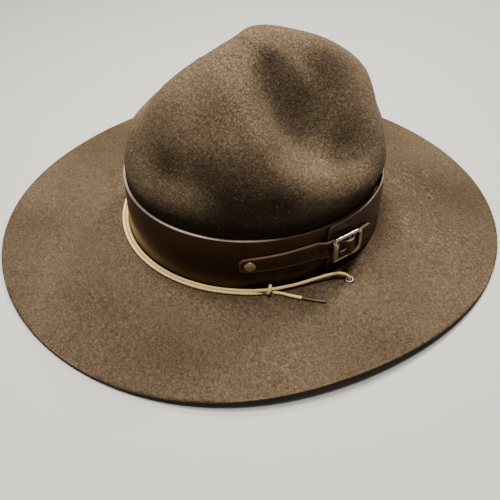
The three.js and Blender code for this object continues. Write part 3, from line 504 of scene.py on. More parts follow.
def crown_point(angle, share):
    """Points on the outside of the crown: angle in radians, and share of the profile."""
    step = 1e-4
    height = crown_height(share)
    scale = crown_scale(share)
    rise = (crown_height(share + step) - crown_height(share - step)) / (2 * step)
    inward = (crown_scale(share + step) - crown_scale(share - step)) / (2 * step) * MEAN_RADIUS
    length = np.hypot(rise, inward)
    push = sum(dent_push(dent, angle, height, scale * MEAN_RADIUS) for dent in DENT_SHAPES)
    push = push - fold_rise(angle, share, scale * MEAN_RADIUS)
    outward = push * rise / length
    x = (CROWN_HALF_WIDTH * scale - outward) * np.cos(angle)
    y = (CROWN_HALF_LENGTH * scale - outward) * np.sin(angle) + crown_rearward(share)
    z = BRIM_TOP + height + push * inward / length
    return np.stack(np.broadcast_arrays(x, y, z), -1)


def crown_inside(angle, share, depth):
    step = 2e-3
    around = crown_point(angle + step, share) - crown_point(angle - step, share)
    up = crown_point(angle, share + step) - crown_point(angle, share - step)
    normal = np.cross(around, up)
    normal /= np.linalg.norm(normal, axis=-1, keepdims=True)
    return crown_point(angle, share) - depth * normal


def beside_wall(degrees, offset, height):
    """Points beside the band's part of the crown."""
    angle = np.radians(degrees)
    top, top_scale = CROWN_SECTIONS[BAND_TOP_ROW][:2]
    scale = 1 - (1 - top_scale) * np.clip(height, 0, top) / top
    nx = CROWN_HALF_LENGTH * np.cos(angle)
    ny = CROWN_HALF_WIDTH * np.sin(angle)
    size = np.hypot(nx, ny)
    x = CROWN_HALF_WIDTH * scale * np.cos(angle) + offset * nx / size
    y = CROWN_HALF_LENGTH * scale * np.sin(angle) + offset * ny / size
    return np.stack(np.broadcast_arrays(x, y, BRIM_TOP + height), -1)


def waves(rows, angle):
    return sum(c * np.cos(n * angle) + s * np.sin(n * angle) for n, c, s in rows)


def brim_point(angle, share, below=0.0, inset=0.0):
    width = BRIM_WIDTH + waves(BRIM_WIDTH_WAVES, angle)
    edge = waves(BRIM_EDGE_WAVES, angle) - BRIM_EDGE_DROP
    bent = np.maximum(share - BRIM_FLAT_SHARE, 0) / (1 - BRIM_FLAT_SHARE)
    offset = FOOT_FILLET + (width - FOOT_FILLET) * share - inset
    points = beside_wall(np.degrees(angle), offset, 0)
    points[..., 2] = BRIM_TOP + edge * bent**BRIM_CURL - below
    return points


def centring_shift():
    """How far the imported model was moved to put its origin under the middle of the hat."""
    turns = full_turn(CAD_RING_POINTS)
    side = brim_point(turns, 1.0, EDGE_BEVEL)
    under = brim_point(turns, 1.0, FELT_WALL, EDGE_BEVEL)
    low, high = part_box("felt_body")
    x = (low[0] + high[0]) * 500 - (side[:, 0].min() + side[:, 0].max()) / 2
    y = (low[1] + high[1]) * 500 - (side[:, 1].min() + side[:, 1].max()) / 2
    z = low[2] * 1000 - under[:, 2].min()
    return np.array([x, y, z])


SHIFT = centring_shift()


def crease_depth(points):
    """How deep the fine creases are at points on the crown, with a low lip beside each."""
    depth = np.zeros(points.shape[:-1])
    for first, low, last, high, deep, width in FINE_CREASES:
        start = crown_point(math.radians(first), low)
        run = crown_point(math.radians(last), high) - start
        away = points - start
        share = np.clip(away @ run / run.dot(run), 0, 1)
        gap = np.linalg.norm(away - share[..., None] * run, axis=-1) / width
        depth += deep * (np.exp(-(gap**2)) - CREASE_LIP * np.exp(-((gap - CREASE_LIP_PLACE) ** 2)))
    return depth


def smooth_noise(points, rows):
    """Slow seeded unevenness at points in millimetres."""
    total = 0.0
    for seed, width, strength in rows:
        rng = np.random.default_rng(seed)
        waves_here = np.zeros(points.shape[:-1])
        weight = 0.0
        for octave in range(NOISE_OCTAVES):
            for _ in range(NOISE_WAVES):
                way = rng.normal(size=3)
                way *= 2 * np.pi * 2**octave / (width * NOISE_STRETCH * np.linalg.norm(way))
                waves_here += 0.5**octave * np.sin(points @ way + rng.uniform(0, 2 * np.pi))
            weight += 0.5**octave * NOISE_EVENING
        total = total + strength * waves_here / weight
    return total


def metres(points):
    """Points in the hat's frame in millimetres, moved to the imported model's frame in metres."""
    return (np.asarray(points, float) + SHIFT) / 1000


def mesh_object(name, points, faces):
    mesh = bpy.data.meshes.new(name)
    mesh.from_pydata(points.reshape(-1, 3).tolist(), [], faces)
    obj = bpy.data.objects.new(name, mesh)
    bpy.context.scene.collection.objects.link(obj)
    return obj


def make_object(name, points, faces, material, uvs=None, marks=None):
    """A smooth-shaded piece from points in millimetres, with optional UVs and named point values."""
    obj = mesh_object(name, metres(points), faces)
    mesh = obj.data
    mesh.polygons.foreach_set("use_smooth", [True] * len(mesh.polygons))
    if uvs is not None:
        layer = mesh.uv_layers.new(name="around")
        layer.data.foreach_set("uv", np.asarray(uvs, float).ravel())
    for mark, values in (marks or {}).items():
        attribute = mesh.attributes.new(mark, "FLOAT", "POINT")
        attribute.data.foreach_set("value", np.asarray(values, float).ravel())
    mesh.update()
    mesh.materials.append(material)
    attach(obj, "root")
    return obj


def loft_faces(rings, closed=False):
    """Quads between rings of points. The last ring meets the first, or both ends have a cap."""
    rows, count = rings.shape[:2]
    faces = []
    for i in range(rows if closed else rows - 1):
        ahead = ((i + 1) % rows) * count
        for j in range(count):
            k = (j + 1) % count
            faces.append((i * count + j, ahead + j, ahead + k, i * count + k))
    if not closed:
        faces.append(tuple(range(count)))
        faces.append(tuple(range(rows * count - 1, (rows - 1) * count - 1, -1)))
    return faces


def loft(name, rings, material, uvs=None, marks=None):
    rings = np.asarray(rings, float)
    return make_object(name, rings, loft_faces(rings), material, uvs, marks)


def along_path(points, spacing=PATH_SPACING):
    """A smooth path through points, resampled evenly. Returns the points and their distances."""
    points = np.asarray(points, float)
    keys = run_along(points, PATH_KEY_POWER)
    curves = [natural_spline(keys, points[:, i]) for i in range(3)]
    fine = np.linspace(0, keys[-1], len(points) * PATH_FINENESS)
    dense = np.stack([curve(fine) for curve in curves], -1)
    run = run_along(dense)
    even = np.linspace(0, run[-1], max(2, int(run[-1] / spacing) + 1))
    path = np.stack([np.interp(even, run, dense[:, i]) for i in range(3)], -1)
    return path, even


def path_frames(path):
    """Two directions across a path at each of its points, carried along without twist."""
    tangent = np.gradient(path, axis=0)
    tangent /= np.linalg.norm(tangent, axis=1, keepdims=True)
    across = np.zeros_like(path)
    start = np.array([0.0, 0.0, 1.0]) if abs(tangent[0, 2]) < 0.9 else np.array([1.0, 0.0, 0.0])
    for i, way in enumerate(tangent):
        start = start - way * start.dot(way)
        start = start / np.linalg.norm(start)
        across[i] = start
    return across, np.cross(tangent, across)


def tube(path, radius, sides):
    """Rings round a path. The radius is one number or one for each point."""
    across, other = path_frames(path)
    turns = full_turn(sides)
    radius = np.broadcast_to(np.asarray(radius, float), (len(path),))[:, None, None]
    ring = across[:, None] * np.cos(turns)[None, :, None] - other[:, None] * np.sin(turns)[None, :, None]
    return path[:, None] + radius * ring


def turned_rings(centre, axis, profile, sides):
    """Rings of pairs of radius and rise round an axis."""
    axis = np.asarray(axis, float) / np.linalg.norm(axis)
    across = np.cross([0.0, 0.0, 1.0], axis)
    if np.linalg.norm(across) < 0.1:
        across = np.array([1.0, 0.0, 0.0])
    across /= np.linalg.norm(across)
    other = np.cross(axis, across)
    turns = full_turn(sides)
    ring = across * np.cos(turns)[:, None] + other * np.sin(turns)[:, None]
    return np.array([centre + radius * ring + rise * axis for radius, rise in profile])


def node_tree(name):
    material = bpy.data.materials.new(name)
    material.use_nodes = True
    tree = material.node_tree
    return material, tree, tree.nodes["Principled BSDF"]


def fill(tree, node, sockets):
    """Links each socket to an output, or sets it to a constant."""
    for name, value in sockets.items():
        socket = node.inputs[name]
        if isinstance(value, bpy.types.NodeSocket):
            tree.links.new(value, socket)
        elif socket.type == "RGBA":
            socket.default_value = (*value, 1.0)
        else:
            socket.default_value = value


def add_node(tree, kind, sockets, **settings):
    node = tree.nodes.new(kind)
    for key, value in settings.items():
        setattr(node, key, value)
    fill(tree, node, sockets)
    return node


def noise(tree, where, scale, detail, roughness, distortion=0.0):
    sockets = {"Vector": where, "Scale": scale, "Detail": detail, "Roughness": roughness}
    sockets["Distortion"] = distortion
    return add_node(tree, "ShaderNodeTexNoise", sockets).outputs["Fac"]


def ramp(tree, value, low, high, low_out=0.0, high_out=1.0):
    sockets = {"Value": value, "From Min": low, "From Max": high, "To Min": low_out, "To Max": high_out}
    return add_node(tree, "ShaderNodeMapRange", sockets).outputs["Result"]


def maths(tree, operation, first, second=0.0):
    return add_node(tree, "ShaderNodeMath", {0: first, 1: second}, operation=operation).outputs[0]


def mix_colours(tree, share, first, second, blend="MIX"):
    sockets = {0: share, 6: first, 7: second}
    return add_node(tree, "ShaderNodeMix", sockets, data_type="RGBA", blend_type=blend).outputs[2]


def bump(tree, height, strength, distance, before=None):
    sockets = {"Height": height, "Strength": strength, "Distance": distance}
    if before is not None:
        sockets["Normal"] = before
    return add_node(tree, "ShaderNodeBump", sockets).outputs["Normal"]


def object_place(tree, stretch=(1.0, 1.0, 1.0)):
    coordinates = add_node(tree, "ShaderNodeTexCoord", {})
    sockets = {"Vector": coordinates.outputs["Object"], "Scale": stretch}
    return add_node(tree, "ShaderNodeMapping", sockets).outputs["Vector"]


def point_value(tree, name):
    return add_node(tree, "ShaderNodeAttribute", {}, attribute_name=name).outputs["Fac"]


def felt_material():
    material, tree, shader = node_tree("brown_felt")
    place = object_place(tree)
    grain = noise(tree, place, 700, 3, 0.8)
    clumps = noise(tree, place, 330, 4, 0.6, 0.5)
    cloud = noise(tree, place, 26, 4, 0.55)
    streaks = noise(tree, object_place(tree, (1.0, 2.6, 1.0)), 190, 5, 0.7, 1.2)
    tone_and_painted_shading = point_value(tree, "tone_and_painted_shading")
    coarseness = maths(tree, "ADD", maths(tree, "MULTIPLY", point_value(tree, "nap"), 0.3), 1.0)
    clouded = ramp(tree, cloud, 0.35, 0.68)
    dark = mix_colours(tree, clouded, (0.06, 0.0402, 0.0218), (0.072, 0.0484, 0.0272))
    clumped = mix_colours(tree, ramp(tree, clumps, 0.36, 0.68), dark, (0.091, 0.0635, 0.0375))
    pits = maths(tree, "MULTIPLY", ramp(tree, grain, 0.5, 0.34, 0.0, 0.6), coarseness)
    pitted = mix_colours(tree, pits, clumped, (0.017, 0.01, 0.0052))
    tufts = maths(tree, "MULTIPLY", ramp(tree, grain, 0.54, 0.7, 0.0, 0.58), coarseness)
    fuzzy = mix_colours(tree, tufts, pitted, (0.195, 0.142, 0.086))
    # The tone mark lightens or darkens the felt: partly uneven tone, partly painted light and painted
    # shade.
    lighter = ramp(tree, tone_and_painted_shading, 0.0, 1.0, 0.0, 0.6)
    lifted = mix_colours(tree, lighter, fuzzy, (2.1, 2.25, 2.4), "MULTIPLY")
    darker = ramp(tree, tone_and_painted_shading, 0.0, -1.0, 0.0, 0.9)
    shaded = mix_colours(tree, darker, lifted, (0.09, 0.065, 0.045), "MULTIPLY")
    marks = maths(tree, "MULTIPLY", ramp(tree, streaks, 0.56, 0.66, 0.0, 0.75), point_value(tree, "scuff"))
    scuffed = mix_colours(tree, marks, shaded, (0.27, 0.22, 0.16))
    fill(tree, shader, {
        "Base Color": mix_colours(tree, point_value(tree, "cut_edge"), scuffed, (0.022, 0.014, 0.008)),
        "Roughness": 0.95,
        "Specular IOR Level": 0.06,
        "Sheen Weight": 0.05,
        "Sheen Roughness": 0.5,
        "Sheen Tint": (0.7, 0.55, 0.34),
        "Normal": bump(tree, grain, 0.85, 0.0006, bump(tree, clumps, 0.9, 0.0012)),
    })
    return material


def lint_material():
    material, tree, shader = node_tree("loose_fibre")
    shade = ramp(tree, noise(tree, object_place(tree), 90, 3, 0.6), 0.35, 0.65)
    fill(tree, shader, {
        "Base Color": mix_colours(tree, shade, (0.09, 0.065, 0.04), (0.27, 0.21, 0.15)),
        "Roughness": 0.9,
    })
    return material


def leather_material(name, dark, light, edge_colour, roughness):
    material, tree, shader = node_tree(name)
    place = object_place(tree)
    sockets = {"Vector": place, "Scale": 900}
    cells = add_node(tree, "ShaderNodeTexVoronoi", sockets, feature="DISTANCE_TO_EDGE")
    pores = ramp(tree, cells.outputs["Distance"], 0.0, 0.12)
    blotch = ramp(tree, noise(tree, place, 55, 4, 0.55), 0.35, 0.7)
    fine = noise(tree, place, 700, 3, 0.6)
    scuffs = noise(tree, object_place(tree, (1.0, 1.0, 14.0)), 60, 5, 0.7)
    colour = mix_colours(tree, blotch, dark, light)
    shine = ramp(tree, scuffs, 0.45, 0.8, roughness, roughness + 0.16)
    fill(tree, shader, {
        "Base Color": mix_colours(tree, point_value(tree, "cut_edge"), colour, edge_colour),
        "Roughness": maths(tree, "ADD", shine, ramp(tree, fine, 0.3, 0.7, -0.03, 0.04)),
        "Specular IOR Level": 0.16,
        "Specular Tint": (1.0, 0.74, 0.52),
        "Coat Weight": 0.02,
        "Coat Tint": (1.0, 0.85, 0.7),
        "Coat Roughness": 0.22,
        "Normal": bump(tree, fine, 0.12, 0.0001, bump(tree, pores, 0.12, 0.0001)),
    })
    return material


def metal_material(name, colour, dull, roughness, tarnish):
    material, tree, shader = node_tree(name)
    wear = noise(tree, object_place(tree), 260, 4, 0.6)
    scratches = noise(tree, object_place(tree, (1.0, 1.0, 9.0)), 900, 3, 0.7)
    fill(tree, shader, {
        "Base Color": mix_colours(tree, ramp(tree, wear, 0.42, 0.72, 0.0, tarnish), colour, dull),
        "Metallic": 1.0,
        "Roughness": ramp(tree, wear, 0.35, 0.75, roughness, roughness + 0.2),
        "Normal": bump(tree, scratches, 0.03, 0.00003),
    })
    return material


def cord_material():
    material, tree, shader = node_tree("tan_cord")
    uv = add_node(tree, "ShaderNodeUVMap", {}, uv_map="around")
    around, along, _ = add_node(tree, "ShaderNodeSeparateXYZ", {"Vector": uv.outputs["UV"]}).outputs
    strands = []
    for way, height in ((1.0, 1.0), (-1.0, BRAID_CROSSING)):
        turn = maths(tree, "MULTIPLY", around, BRAID_STRANDS * 2 * math.pi)
        run = maths(tree, "MULTIPLY", along, way * 2 * math.pi / BRAID_PITCH)
        wave = maths(tree, "SINE", maths(tree, "ADD", turn, run))
        strands.append(maths(tree, "MULTIPLY", wave, height))
    weave = maths(tree, "MAXIMUM", strands[0], strands[1])
    place = object_place(tree)
    fibre = noise(tree, place, 1800, 2, 0.6)
    soil = noise(tree, place, 120, 3, 0.6)
    # Painted shade: the grooves between the braid's strands are coloured much darker than the strands.
    colour = mix_colours(tree, ramp(tree, weave, -0.5, 0.4), (0.28, 0.13, 0.035), (1.0, 0.72, 0.28))
    fuzzy = mix_colours(tree, ramp(tree, fibre, 0.35, 0.7, 0.0, 0.3), colour, (1.0, 0.77, 0.36))
    fill(tree, shader, {
        "Base Color": mix_colours(tree, ramp(tree, soil, 0.55, 0.78, 0.0, 0.35), fuzzy, (0.45, 0.29, 0.15)),
        "Roughness": 0.7,
        "Sheen Weight": 0.25,
        "Sheen Tint": (1.0, 0.85, 0.55),
        "Normal": bump(tree, fibre, 0.3, 0.0001, bump(tree, weave, 0.5, 0.0002)),
    })
    return material


def tip_material():
    material, tree, shader = node_tree("cord_binding")
    fibre = noise(tree, object_place(tree), 900, 3, 0.6)
    shade = ramp(tree, fibre, 0.3, 0.7)
    fill(tree, shader, {
        "Base Color": mix_colours(tree, shade, (0.03, 0.016, 0.009), (0.1, 0.06, 0.034)),
        "Roughness": 0.55,
        "Normal": bump(tree, fibre, 0.4, 0.0001),
    })
    return material


def floor_material():
    material, tree, shader = node_tree("pale_floor")
    fill(tree, shader, {"Base Color": (0.46, 0.445, 0.42), "Roughness": 0.8, "Specular IOR Level": 0.2})
    return material


# Camera
def make_camera():
    data = bpy.data.cameras.new("camera")
    data.lens = CAMERA_LENS
    data.sensor_width = 36.0
    data.clip_start = 0.01
    data.clip_end = 50.0
    camera = bpy.data.objects.new("camera", data)
    turn = Euler((math.radians(90 - CAMERA_PITCH), 0.0, math.radians(90 - CAMERA_YAW)))
    camera.matrix_world = Matrix.LocRotScale(Vector(metres(CAMERA_PLACE)), turn, None)
    bpy.context.scene.collection.objects.link(camera)
    bpy.context.scene.camera = camera


# Chin cord
def across_the_hat(rows):
    return [(-180 - angle, offset, height) for angle, offset, height in rows]


def wrap_rows():
    rows = []
    for i in range(WRAP_STEPS + 1):
        turn = -math.pi / 2 + 2 * math.pi * i / WRAP_STEPS
        share = i / WRAP_STEPS
        rows.append((
            mix(WRAP_FRONT, WRAP_REAR, share),
            OUTER_TRACK + CORD_PITCH * math.cos(turn),
            CORD_REST + CORD_PITCH * (1 + math.sin(turn)),
        ))
    return rows


def front_strands():
    outer = []
    inner = []
    end = -180 - STRAND_START
    steps = round((STRAND_START - end) / STRAND_STEP)
    for i in range(steps + 1):
        angle = mix(STRAND_START, end, i / steps)
        left = float(smoothstep(STRAND_START - angle, 0, PARTING_ANGLE)) * math.pi / 2
        right = float(smoothstep(angle - end, 0, PARTING_ANGLE)) * math.pi / 2
        outer.append((angle, OUTER_TRACK, CORD_REST + CORD_PITCH * math.cos(right)))
        offset = OUTER_TRACK - CORD_PITCH * math.sin(left) * math.sin(right)
        inner.append((angle, offset, CORD_REST + CORD_PITCH * math.cos(left)))
    return outer, inner


def cord_rows():
    outer, inner = front_strands()
    wrap = wrap_rows()
    through = ((WRAP_FRONT + WRAP_REAR) / 2, OUTER_TRACK, CORD_REST + CORD_PITCH)
    side = [through] + CORD_ARCH + CORD_BELOW
    back = [(angle - 360, offset, height) for angle, offset, height in side[::-1]]
    front = [(angle - 360, offset, height) for angle, offset, height in inner]
    start = CORD_TAIL[::-1] + wrap[::-1] + outer
    end = across_the_hat(wrap) + across_the_hat(CORD_TAIL)
    return start + across_the_hat(side) + [CORD_REAR] + back + front + end


def cord_points(rows):
    return np.array([beside_wall(*row) for row in rows])


def make_cord(material, tip):
    path, run = along_path(cord_points(cord_rows()), CORD_SPACING)
    rings = tube(path, CORD_RADIUS, CORD_SIDES)
    turns = 2 * np.pi * BRAID_STRANDS * np.arange(CORD_SIDES) / CORD_SIDES
    phase = 2 * np.pi * run[:, None] / BRAID_PITCH
    weave = np.maximum(np.sin(turns + phase), BRAID_CROSSING * np.sin(turns - phase))
    relief = 1 + BRAID_RELIEF * (weave - 1) / 2
    rings = path[:, None] + (rings - path[:, None]) * relief[..., None]
    uvs = []
    for i in range(len(path) - 1):
        for j in range(CORD_SIDES):
            for u, v in ((j, i), (j, i + 1), (j + 1, i + 1), (j + 1, i)):
                uvs.append((u / CORD_SIDES, run[v]))
    uvs += [(0.0, 0.0)] * (2 * CORD_SIDES)
    cord = loft("braided_cord", rings, material, uvs=uvs)
    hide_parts("chin_cord")
    for name, rows in (("left", CORD_TIP), ("right", across_the_hat(CORD_TIP))):
        tip_path, tip_run = along_path(cord_points(rows))
        left = tip_run[-1] - tip_run
        thick = CORD_TIP_RADIUS * np.sqrt(np.clip(left / TIP_TAPER, ROD_END_SHARE, 1))
        ridges = 1 + TIP_RIDGE * np.sin(tip_run * 2 * np.pi / TIP_RIDGE_PITCH)
        piece = loft("bound_tip_" + name, tube(tip_path, thick * ridges, TIP_SIDES), tip)
        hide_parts("cord_tip_" + name)


# Felt body
def crown_shares():
    band_top = CROWN_KEYS[BAND_TOP_ROW]
    foot = band_top * CROWN_FOOT_HEIGHT / BAND_HEIGHT
    return np.concatenate([
        np.linspace(PEAK_SHARE, band_top, CROWN_ROWS),
        np.linspace(band_top, foot, BANDED_ROWS)[1:],
    ])


def felt_rings():
    """Rings from the peak outward and back inside, and how many come before the brim's edge."""
    turns = full_turn(FELT_AROUND)
    band_top = CROWN_KEYS[BAND_TOP_ROW]
    crown = crown_shares()
    rings = [crown_point(turns, share) for share in crown]
    rings += [brim_point(turns, share) for share in np.linspace(0, BRIM_EDGE_SHARE, BRIM_ROWS)]
    edge_row = len(rings)
    bevel = []
    for turn in np.radians([90, 60, 30, 0]):
        bevel.append((EDGE_BEVEL * (1 - math.sin(turn)), EDGE_BEVEL * (1 - math.cos(turn))))
    rings += [brim_point(turns, 1.0, below, inset) for below, inset in bevel]
    rings += [brim_point(turns, 1.0, FELT_WALL - below, inset) for below, inset in bevel[::-1]]
    under = np.linspace(BRIM_EDGE_SHARE, 0, UNDERSIDE_ROWS)
    rings += [brim_point(turns, share, FELT_WALL) for share in under]
    corner = INSIDE_CORNER_SHARE * FELT_WALL
    rings.append(brim_point(turns, 0, corner, FOOT_FILLET + corner))
    inside = np.concatenate([
        np.linspace(crown[-1], band_top, BANDED_INSIDE_ROWS)[:-1],
        np.linspace(band_top, INSIDE_PEAK_SHARE, INSIDE_ROWS),
    ])
    rings += [crown_inside(turns, share, FELT_WALL) for share in inside]
    return np.array(rings), edge_row


def ring_normals(rings):
    around = np.roll(rings, -1, axis=1) - np.roll(rings, 1, axis=1)
    down = np.gradient(rings, axis=0)
    normal = np.cross(down, around)
    return normal / np.maximum(np.linalg.norm(normal, axis=-1, keepdims=True), 1e-9)


def spots(points, places):
    """Soft round spots. Columns: x, y, z, radius and strength."""
    total = np.zeros(points.shape[:-1])
    for x, y, z, radius, strength in places:
        near = np.linalg.norm(points - np.array([x, y, z]), axis=-1) / radius
        total += strength * np.exp(-(near**2))
    return total


def make_felt(material):
    rings, edge_row = felt_rings()
    rows, count = rings.shape[:2]
    normal = ring_normals(rings)
    outside = np.zeros((rows, 1))
    outside[:edge_row] = 1
    above_band = rings[..., 2] - BRIM_TOP - BAND_HEIGHT
    radius = np.hypot(rings[..., 0], rings[..., 1])
    on_brim = smoothstep(radius, *BRIM_START)
    bare = np.maximum(smoothstep(above_band, 0, BUMP_FADE), on_brim) * outside
    uneven = (smooth_noise(rings, FELT_BUMPS) - crease_depth(rings)) * bare
    shaped = rings + normal * uneven[..., None]

    turns = full_turn(count)
    # Painted shade on the crown's wall just above the band. It is strongest on the wearer's left, a little
    # towards the front, and weaker round the rest, and it takes the place of the felt's tone there.
    painted_wall_shade = (1 - smoothstep(above_band, *WALL_SHADE_FADE)) * (radius < CROWN_REACH) * (above_band > 0)
    painted_wall_shade *= mix(LEAST_WALL_SHADE, 1, smoothstep(np.cos(turns + WALL_SHADE_TURN), *WALL_SHADE_SIDES))
    shares = crown_shares()[:, None]
    across = crown_scale(shares) * MEAN_RADIUS
    depth = sum(dent_push(dent, turns, crown_height(shares), across) for dent in DENT_SHAPES)
    # Uneven tone, with painted light and painted shade from the tone spots.
    tone_and_painted_shading = smooth_noise(rings, FELT_CLOUDS) + spots(rings, FELT_TONES_AND_PAINTED_SHADING)
    # Painted shade: the crown is darker the deeper a dent pushes it in, and a little lighter where no dent
    # reaches.
    tone_and_painted_shading[:len(shares)] += np.clip(DENT_SHADE_RANGE[1] - SHADE_BY_DENT_DEPTH * depth, *DENT_SHADE_RANGE)
    cut = np.zeros((rows, count))
    # The rows round the brim's cut edge are coloured darker.
    cut[edge_row + 1:edge_row + 1 + CUT_EDGE_ROWS] = CUT_EDGE_DARKNESS
    marks = {
        "tone_and_painted_shading": tone_and_painted_shading * (1 - painted_wall_shade) - painted_wall_shade,
        "scuff": np.clip(spots(rings, FELT_SCUFFS), 0, 1),
        "cut_edge": cut,
        "nap": (1 - on_brim) * outside,
    }
    felt = loft("felt_hat", shaped, material, marks=marks)
    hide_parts("felt_body")
    return shaped, normal, edge_row


def fibre(centre, flat, side, up, length, thick, bend, lift):
    """A short bent rod with three sides, lying on the felt."""
    points = []
    for share in np.linspace(-0.5, 0.5, FIBRE_RINGS):
        arch = 1 - 4 * share * share
        middle = centre + flat * share * length + side * bend * arch + up * (LINT_GAP + thick + lift * arch)
        for turn in (0, 2 * np.pi / 3, 4 * np.pi / 3):
            points.append(middle + thick * (math.cos(turn) * side + math.sin(turn) * up))
    return points


def make_lint(shaped, normal, edge_row, material):
    """Short loose fibres on the felt, and the few larger specks that the photo shows."""
    rng = np.random.default_rng(LINT_SEED)
    rows = shaped[:edge_row]
    radius = np.hypot(rows[..., 0], rows[..., 1])
    height = rows[..., 2] - BRIM_TOP - BAND_HEIGHT
    covered = (height > -BAND_HEIGHT - 1) & (height < 1) & (radius < COVERED_REACH)
    low_wall = (radius < CROWN_REACH) & (height < LOW_WALL_HEIGHT)
    weight = np.linalg.norm(np.gradient(rows, axis=0), axis=-1)
    weight *= np.linalg.norm(np.gradient(rows, axis=1), axis=-1)
    weight *= np.where(covered, 0, 1) * np.where(low_wall, LOW_WALL_SHARE, 1)
    weight[:LINT_FREE_ROWS] = 0
    places = list(rng.choice(weight.size, LINT_COUNT, p=(weight / weight.sum()).ravel()))
    for place in LINT_SPECKS:
        places.append(int(np.argmin(np.linalg.norm(rows - np.array(place), axis=-1))))
    points = []
    for number, index in enumerate(places):
        i, j = divmod(int(index), rows.shape[1])
        up = normal[i, j]
        turn = rng.uniform(0, 2 * np.pi)
        flat = np.cross(up, [math.cos(turn), math.sin(turn), 0.3])
        flat /= np.linalg.norm(flat)
        side = np.cross(up, flat)
        length = rng.uniform(*LINT_LENGTHS) * (2.0 if rng.random() < LONG_LINT_SHARE else 1)
        thick = rng.uniform(*LINT_RADII)
        centre = rows[i, j] + rng.uniform(-LINT_SHIFT, LINT_SHIFT) * flat
        centre += rng.uniform(-LINT_SHIFT, LINT_SHIFT) * side
        if number >= LINT_COUNT:
            length, thick = SPECK_SIZE
        bend = rng.uniform(-LINT_BEND, LINT_BEND) * length
        lift = rng.uniform(0, LINT_LIFT)
        points += fibre(centre, flat, side, up, length, thick, bend, lift)
    rod = [face[:1] + face[:0:-1] for face in loft_faces(np.empty((FIBRE_RINGS, 3)))]
    bases = range(0, len(points), FIBRE_RINGS * 3)
    faces = [tuple(base + index for index in face) for base in bases for face in rod]
    lint = make_object("felt_lint", np.array(points), faces, material)


# Leather
def rounded_section(inner, outer, low, high, bevel):
    """A rectangle's outline with rounded corners, from its outer low corner on."""
    places = []
    corners = [(outer, low, -90), (outer, high, 0), (inner, high, 90), (inner, low, 180)]
    for offset, height, first in corners:
        centre_offset = offset - bevel if offset == outer else offset + bevel
        centre_height = height + bevel if height == low else height - bevel
        for k in range(CORNER_STEPS + 1):
            turn = math.radians(first + 90 * k / CORNER_STEPS)
            places.append((centre_offset + bevel * math.cos(turn), centre_height + bevel * math.sin(turn)))
    return places


def section_ring(angle, section):
    return [beside_wall(angle, offset, height) for offset, height in section]


def make_band(material):
    sweep = 360 + LAP_INNER_END - LAP_OUTER_END
    rings = []
    edges = []
    for i in range(BAND_STEPS + 1):
        turned = sweep * i / BAND_STEPS
        angle = LAP_INNER_END - turned
        lap = float(smoothstep(turned, 360 - LAP_RAMP, LAP_RAMP_END))
        inner = BAND_GAP + lap * (BAND_THICKNESS + CLEARANCE + EASE)
        from_end = (sweep - turned) / ANGLE_PER_MM
        corner = LAP_CORNER * (1 - math.sqrt(max(0.0, 1 - max(0.0, 1 - from_end / LAP_CORNER) ** 2)))
        low = BAND_FOOT + corner
        high = BAND_HEIGHT - corner
        section = rounded_section(inner, inner + BAND_THICKNESS, low, high, BAND_BEVEL)
        rings.append(section_ring(angle, section))
        # Painted highlight: the cut edge's paleness changes by angle round the hat, on top of the raw
        # edge's own colour.
        wear = float(np.interp(math.remainder(angle, 360), column(BAND_EDGE_PALENESS_AND_HIGHLIGHT, 0), column(BAND_EDGE_PALENESS_AND_HIGHLIGHT, 1)))
        rims = [height > high - RIM_DEPTH or height < low + RIM_DEPTH for _, height in section]
        edges.append([wear if from_end < END_DEPTH or on_rim else 0.0 for on_rim in rims])
    marks = {"cut_edge": np.array(edges)[::-1]}
    band = loft("leather_band", np.array(rings)[::-1], material, marks=marks)
    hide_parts("hat_band")


strap_height = natural_spline(column(STRAP_ROWS, 0), column(STRAP_ROWS, 1))
strap_half = natural_spline(column(STRAP_ROWS, 0), column(STRAP_ROWS, 2))


def strap_lift(angle):
    rows = STRAP_ROWS
    i = int(np.searchsorted(column(rows, 0)[1:-1], angle))
    share = float(smoothstep(angle, rows[i][0], rows[i + 1][0]))
    return mix(rows[i][3], rows[i + 1][3], share)


def cutter(path, radius):
    """A rod that is only used to cut a hole."""
    rings = tube(np.asarray(path, float), radius, CUTTER_SIDES)
    return mesh_object("cutter", metres(rings), loft_faces(rings))


def cut_holes(obj, cutters):
    for rod in cutters:
        modifier = obj.modifiers.new("hole", "BOOLEAN")
        modifier.operation = "DIFFERENCE"
        modifier.solver = "EXACT"
        modifier.object = rod
        bpy.context.view_layer.objects.active = obj
        bpy.ops.object.modifier_apply(modifier=modifier.name)
        bpy.data.objects.remove(rod)
    obj.data.set_sharp_from_angle(angle=math.radians(SHARP_ANGLE))


def by_buckle(along, offset, up):
    angle = BUCKLE_ANGLE + along * ANGLE_PER_MM
    return beside_wall(angle, offset, strap_height(angle) + up)


def prong_path(turns):
    hook = MIDDLE_BAR_RADIUS + CLEARANCE + PRONG_RADIUS
    path = []
    for turn in turns:
        angle = math.radians(turn)
        path.append(by_buckle(hook * math.cos(angle), MIDDLE_BAR_LIFT + hook * math.sin(angle), 0))
    return np.array(path + [by_buckle(along, lift, 0) for along, lift in PRONG_REACH])


